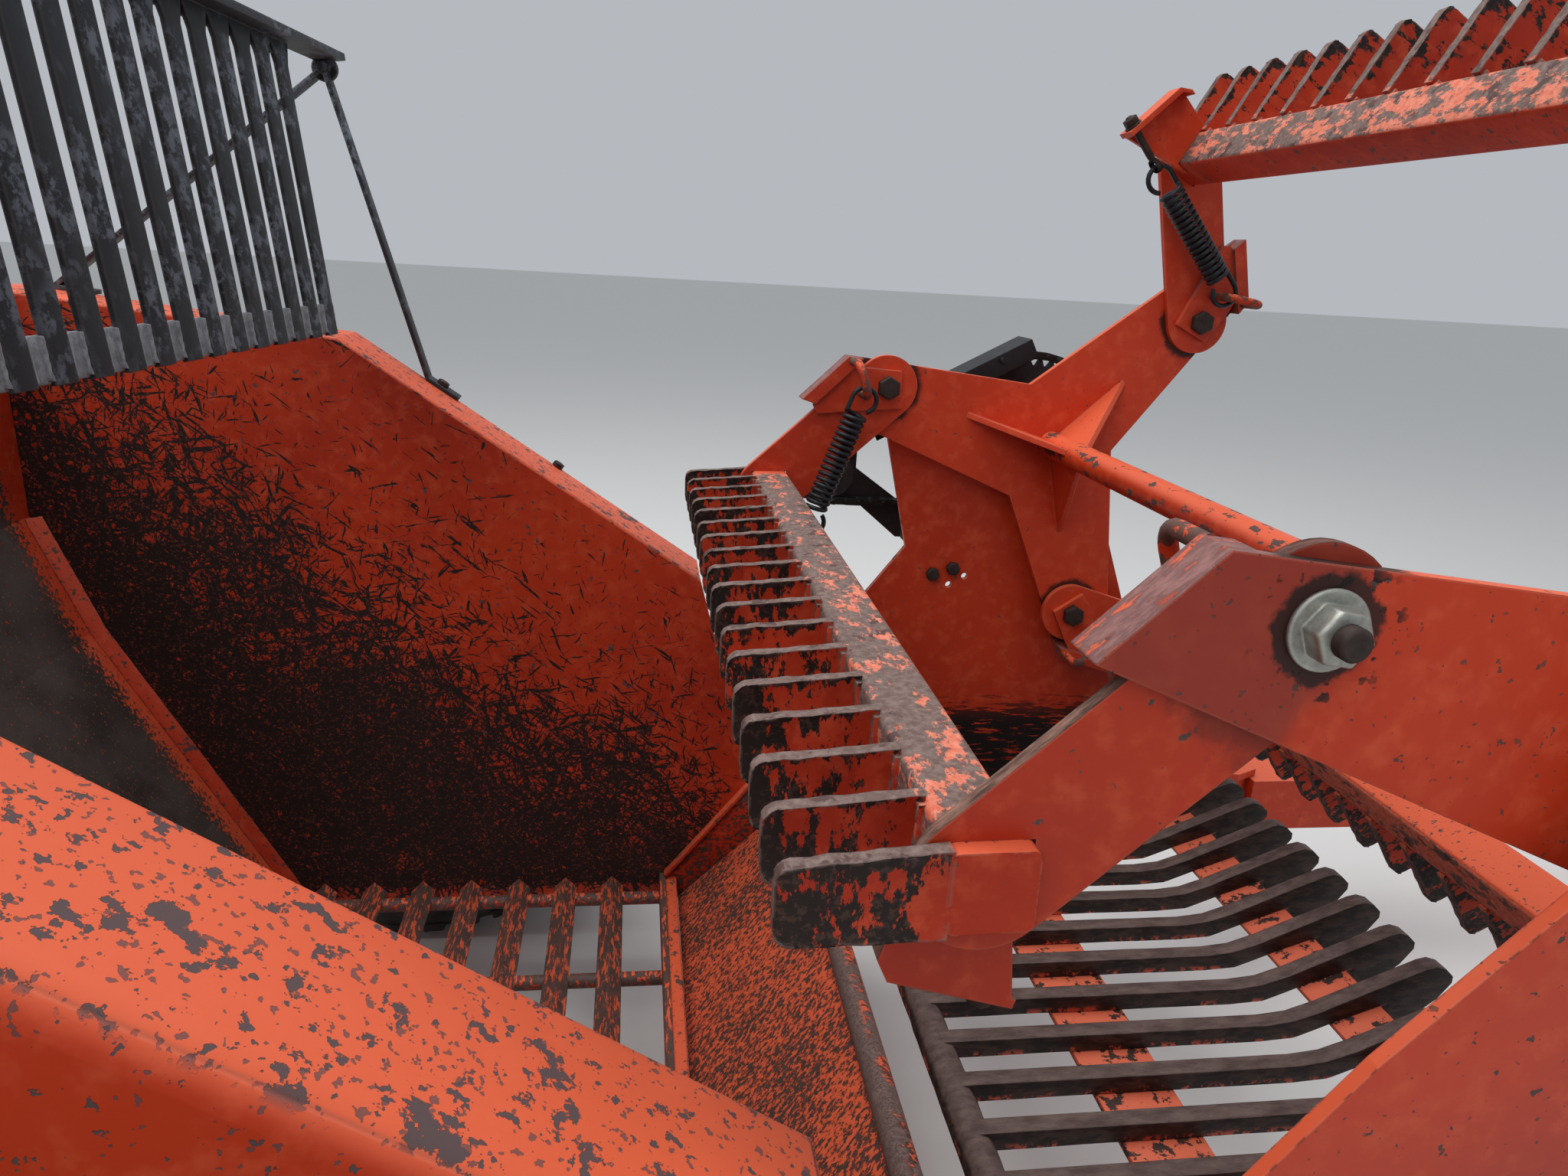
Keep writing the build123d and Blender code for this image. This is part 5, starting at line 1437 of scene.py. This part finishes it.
def grate():
    bar = cut_plate(BAR_TOP + BAR_BELOW, -BAR_THICK / 2, BAR_THICK)
    take(bar)
    edit()
    cut_across([at(BAR_REAR + step * 0.045, 0, 0) for step in range(1, 17)], (1, 0, 0))
    bpy.ops.transform.vertex_random(offset=0.0006, seed=4)
    bpy.ops.object.mode_set(mode="OBJECT")
    soften(bar, 0.003, 3, 40)
    middle = (BAR_COUNT - 1) / 2
    stances = [Matrix.Translation((0, (i - middle) * BAR_PITCH, 0)) for i in range(BAR_COUNT)]
    bars = copies(bar, stances, "bars")
    width = 2 * SIDE_IN - 0.001
    flats = []
    for x, z, wide, tilt in CROSS_FLATS:
        flat = slab((wide, width, 0.010))
        flat.data.transform(Matrix.Translation(at(x, 0, z)) @ Matrix.Rotation(-radians(tilt), 4, "Y"))
        flats.append(soften(flat, 0.0015, 2))
    rod = weld_bead(width, ROD_RADIUS, 12, 0.05)
    rod_x, rod_z = GRATE_ROD
    rod.data.transform(Matrix.Translation(at(rod_x, 0, rod_z)))
    finished(join([bars, rod] + flats, "grate_bars"), FINISHES["worn_grate"], "frame", "worn_grate", "grate")


# Screen at the hopper's rear: flat bars welded on a strap, under a rail that struts hold from the rims

SCREEN_FOOT = (-1.266, 0.640, 0.1435)
SCREEN_TURN = radians(6.5)
SCREEN_LEAN = radians(6.8)
SCREEN_PITCH = 0.0629
SCREEN_BARS = 20
SCREEN_BAR = (0.036, 0.008)
SCREEN_FLARE = 0.034
SCREEN_FIRST = 0.030
SCREEN_LONG = 1.3034
SCREEN_HIGH = 0.437
STRAP_HIGH = 0.052
RAIL_ENDS = (-0.166, 1.454)
STRUT_Y = 0.790
STRUT_FEET = (-1.146, -1.750)
STRUT_WIDE = 0.030
STRUT_THICK = 0.008


def on_screen():
    """Matrix of the screen's own directions: X along it to the right, Y up its bars, Z to its rear."""
    across = Vector((-sin(SCREEN_TURN), -cos(SCREEN_TURN), 0))
    back = Vector((-cos(SCREEN_TURN), sin(SCREEN_TURN), 0))
    up = Vector((back.x * sin(SCREEN_LEAN), back.y * sin(SCREEN_LEAN), cos(SCREEN_LEAN)))
    turn = Matrix((across, up, across.cross(up))).transposed().to_4x4()
    return Matrix.Translation(at(*SCREEN_FOOT)) @ turn


def screen():
    """Bars that flare at their heads until they touch, with a rail and a fin there and a strap behind."""
    wide, thick = SCREEN_BAR
    plain = SCREEN_HIGH - SCREEN_FLARE
    bar = slab((wide, plain, thick), (0, plain / 2, 0))
    edit()
    pick("FACE", lambda middle, normal: normal.y > 0.9)
    extrude((0, SCREEN_FLARE, 0))
    bpy.ops.transform.resize(value=(SCREEN_PITCH / wide, 1, 1), center_override=(0, SCREEN_HIGH, 0))
    leave(False)
    soften(bar, 0.0012, 2)
    place = on_screen()
    along = [SCREEN_FIRST + i * SCREEN_PITCH for i in range(SCREEN_BARS)]
    bars = copies(bar, [place @ Matrix.Translation((x, 0, 0)) for x in along], "bars")
    strap = slab((SCREEN_LONG, STRAP_HIGH - 0.004, 0.008), (SCREEN_LONG / 2, STRAP_HIGH / 2, 0.0052))
    rail_long = RAIL_ENDS[1] - RAIL_ENDS[0]
    rail = slab((rail_long, 0.012, 0.046), (RAIL_ENDS[0] + rail_long / 2, SCREEN_HIGH + 0.006, -0.009))
    fin = slab((SCREEN_LONG, 0.020, 0.005), (SCREEN_LONG / 2, SCREEN_HIGH - 0.010, 0.0065))
    for piece in (strap, rail, fin):
        soften(piece, 0.0015, 2)
        piece.data.transform(place)
    grid = join([bars, rail, fin], "screen_grid")
    finished(grid, FINISHES["screen_steel"], "hopper", "screen_steel", "screen")
    bead = weld_bead(STRAP_HIGH - 0.008, BEAD_RADIUS, 5)
    stances = []
    for x in along:
        for side in (-1, 1):
            spot = (x + side * (wide / 2 + 0.001), STRAP_HIGH / 2 + 0.001, 0.0012)
            stances.append(place @ Matrix.Translation(spot))
    beads = copies(bead, stances, "beads")
    finished(join([beads, strap], "screen_strap"), FINISHES["screen_weld"], "hopper", "screen_steel")


def struts():
    """Flat bars bent at their feet, from bolts on the rims up to a lug at each end of the rail."""
    pieces = []
    for side in (-1, 1):
        along = (SCREEN_FOOT[1] - side * STRUT_Y) / cos(SCREEN_TURN)
        head = on_screen() @ Vector((along, SCREEN_HIGH - 0.012, 0))
        for x in STRUT_FEET:
            run = rim_run(x)
            up = Vector((-run.z, 0, run.x))
            middle = at(x + FOOT_AHEAD, side * STRUT_Y, rim_height(x + FOOT_AHEAD)) + up * STRUT_THICK / 2
            foot = slab((STRUT_WIDE, STRUT_THICK, 0.066))
            foot.data.transform(stance(middle, run, (0, 1, 0)))
            low = middle - run * 0.031
            way = head - low
            bar = slab((STRUT_WIDE, STRUT_THICK, way.length))
            bar.data.transform(stance((low + head) / 2, way, (0, 1, 0)))
            pieces += [foot, bar]
        lug = puck(0.021, 0.005, 24)
        lug.data.transform(stance(head, (0, side, 0)))
        nut = hexagon(0.019, 0.010)
        nut.data.transform(stance(head + Vector((0, -0.005, 0)), (0, -1, 0)))
        pieces += [lug, nut]
    for piece in pieces:
        soften(piece, 0.001, 2)
    finished(join(pieces, "bent_struts"), FINISHES["screen_steel"], "hopper", "screen_steel", "screen_struts")


# Left side plate: its bolts and holes, as x and z

SIDE_BOLTS = ((-0.189, -0.272), (-0.149, -0.260))
SIDE_HOLES = ((-0.122, -0.277), (-0.153, -0.295))
SIDE_HOLE = 0.0065


def side_plate():
    plate = unfold(nodes["side_plate_left"], "side_plate_left_drilled")
    for x, z in SIDE_HOLES:
        drill(plate, SIDE_HOLE, 0.03, stance(at(x, SIDE_IN, z), (0, 1, 0)))
    take(plate)
    smooth(30)
    finished(plate, FINISHES["side_plate"], "frame", "orange_paint", "side_plate_left")
    stances = [stance(at(x, SIDE_IN, z), (0, -1, 0), (1, 0, 0.4)) for x, z in SIDE_BOLTS]
    bolts = copies(hexagon(0.024, 0.012), stances, "side_bolts")
    finished(bolts, FINISHES["dark_bolt"], "frame", "zinc_bolts")


# Running gear

AXLE = (-1.250, -0.693)
TYRE_MID = 1.080
TYRE_RADIUS = 0.522
TYRE_HALF = 0.210
RIM_SEAT = 0.2045
TREAD_RIBS = 5
TREAD_DEEP = 0.013
TREAD_LUGS = 40


def tyre_profile():
    """Cross-section of the tyre: rounded shoulders, ribbed tread and a bead on each side."""
    half = TYRE_HALF
    crown = TYRE_RADIUS - 0.002
    groove = crown - TREAD_DEEP
    side = [(RIM_SEAT, half * 0.78), (RIM_SEAT + 0.014, half * 0.80), (RIM_SEAT + 0.040, half * 0.90),
            (RIM_SEAT + 0.090, half * 0.965), (RIM_SEAT + 0.150, half * 0.985),
            (RIM_SEAT + 0.156, half * 0.999), (RIM_SEAT + 0.168, half * 0.999),
            (RIM_SEAT + 0.174, half * 0.985), (TYRE_RADIUS - 0.062, half * 0.995),
            (TYRE_RADIUS - 0.036, half * 0.955), (TYRE_RADIUS - 0.014, half * 0.86),
            (crown - 0.003, half * 0.76)]
    tread = []
    width = half * 1.46
    pitch = width / TREAD_RIBS
    for rib in range(TREAD_RIBS):
        left = width / 2 - rib * pitch
        right = left - pitch * 0.80
        tread += [(crown, left - 0.002), (crown, right)]
        if rib < TREAD_RIBS - 1:
            tread += [(groove, right - 0.004), (groove, left - pitch + 0.003)]
    return side + tread + [(radius, -height) for radius, height in side[::-1]]


def tyres():
    """Tyres with lugs on both shoulders, half a pitch apart."""
    other_shoulder = Matrix.Rotation(pi, 4, "X")
    stances = []
    for i in range(TREAD_LUGS):
        stances.append(Matrix.Rotation(2 * pi * i / TREAD_LUGS, 4, "Z"))
        stances.append(Matrix.Rotation(2 * pi * (i + 0.5) / TREAD_LUGS, 4, "Z") @ other_shoulder)
    for side, word in SIDES:
        cover = turned(tyre_profile(), 96)
        lug = slab((0.020, 0.046, 0.052), (TYRE_RADIUS - 0.026, 0, TYRE_HALF * 0.86))
        soften(lug, 0.004, 2)
        lugs = copies(lug, stances, "lugs")
        whole = join([cover, lugs], f"tyre_{word}_tread")
        whole.data.transform(stance(at(AXLE[0], side * TYRE_MID, AXLE[1]), (0, side, 0)))
        take(whole)
        smooth(35)
        finished(whole, FINISHES["tyre"], f"wheel_{word}", "tyre", f"tyre_{word}")


# A wheel's bolts and their distance from the axle; their seat and the hub cap's are from the tyre's middle
WHEEL_BOLTS = 8
BOLT_CIRCLE = 0.098
BOLT_SEAT = 0.040
CAP_SEAT = 0.090
HUB_CAP = ((0.0, 0.0), (0.036, 0.0), (0.036, 0.016), (0.030, 0.026), (0.016, 0.031), (0.0, 0.032))


def wheel_bolts():
    x, z = AXLE
    for side, word in SIDES:
        stances = []
        for i in range(WHEEL_BOLTS):
            angle = 2 * pi * i / WHEEL_BOLTS
            across, up = BOLT_CIRCLE * cos(angle), BOLT_CIRCLE * sin(angle)
            stances.append(stance(at(x + across, side * (TYRE_MID + BOLT_SEAT), z + up), (0, side, 0)))
        bolts = copies(hexagon(0.024, 0.014), stances, "bolts")
        cap = turned(list(HUB_CAP), 28)
        cap.data.transform(stance(at(x, side * (TYRE_MID + CAP_SEAT), z), (0, side, 0)))
        whole = join([bolts, cap], f"wheel_bolts_{word}")
        finished(whole, FINISHES["zinc_bolts"], f"wheel_{word}", "zinc_bolts")


# Studio

# Lamps: name, place from the reel, size, power, and the place from the reel that it looks at
LAMPS = (
    ("overhead", (-1.5, 0.5, 5.5), 6.0, 340.0, (-0.6, 0.0, -0.5)),
    ("key", (-3.5, -4.0, 4.0), 3.0, 85.0, (-0.5, 0.0, -0.4)),
)


def studio():
    deselect()
    bpy.ops.mesh.primitive_plane_add(size=120.0, location=(REEL.x, REEL.y, FLOOR_Z))
    floor = taken()
    floor.name = "studio_floor"
    floor_finish = Surface("pale_floor", 0)
    floor.data.materials.append(floor_finish.finish(rgb(222, 221, 218), 0.9))
    world = bpy.data.worlds.new("pale_studio")
    bpy.context.scene.world = world
    world.use_nodes = True
    tree = world.node_tree
    tree.nodes["Background"].inputs["Color"].default_value = (0.82, 0.86, 0.92, 1.0)
    tree.nodes["Background"].inputs["Strength"].default_value = 0.57
    for name, offset, size, power, aim in LAMPS:
        light = bpy.data.lights.new(name, "AREA")
        light.size = size
        light.energy = power
        lamp = bpy.data.objects.new(name, light)
        bpy.context.scene.collection.objects.link(lamp)
        lamp.location = REEL + Vector(offset)
        way = REEL + Vector(aim) - lamp.location
        lamp.rotation_euler = way.to_track_quat("-Z", "Y").to_euler()


def camera():
    flat = cos(CAMERA_PITCH)
    ahead = Vector((sin(CAMERA_YAW) * flat, cos(CAMERA_YAW) * flat, -sin(CAMERA_PITCH)))
    level = Vector((cos(CAMERA_YAW), -sin(CAMERA_YAW), 0.0))
    above = level.cross(ahead)
    right = level * cos(CAMERA_ROLL) + above * sin(CAMERA_ROLL)
    top = above * cos(CAMERA_ROLL) - level * sin(CAMERA_ROLL)
    lens = bpy.data.cameras.new("photo_view")
    lens.lens = CAMERA_LENS
    lens.sensor_width = SENSOR
    lens.sensor_fit = "HORIZONTAL"
    lens.clip_start = 0.05
    eye = bpy.data.objects.new("photo_view", lens)
    bpy.context.scene.collection.objects.link(eye)
    place = REEL + CAMERA_FROM_REEL
    turn = Matrix((right, top, -ahead)).transposed().to_4x4()
    eye.matrix_world = Matrix.Translation(place) @ turn
    bpy.context.scene.camera = eye


camera()
studio()
dress_nodes()
bat_springs()
spring_loops()
eye_bolts()
pivot_bolts()
bats()
chain()
sprocket()
hopper_walls()
corner_strips()
lip_cheeks()
rim_bolts()
grate()
screen()
struts()
side_plate()
tyres()
wheel_bolts()

bpy.context.scene.view_settings.view_transform = "Standard"
bpy.context.view_layer.update()
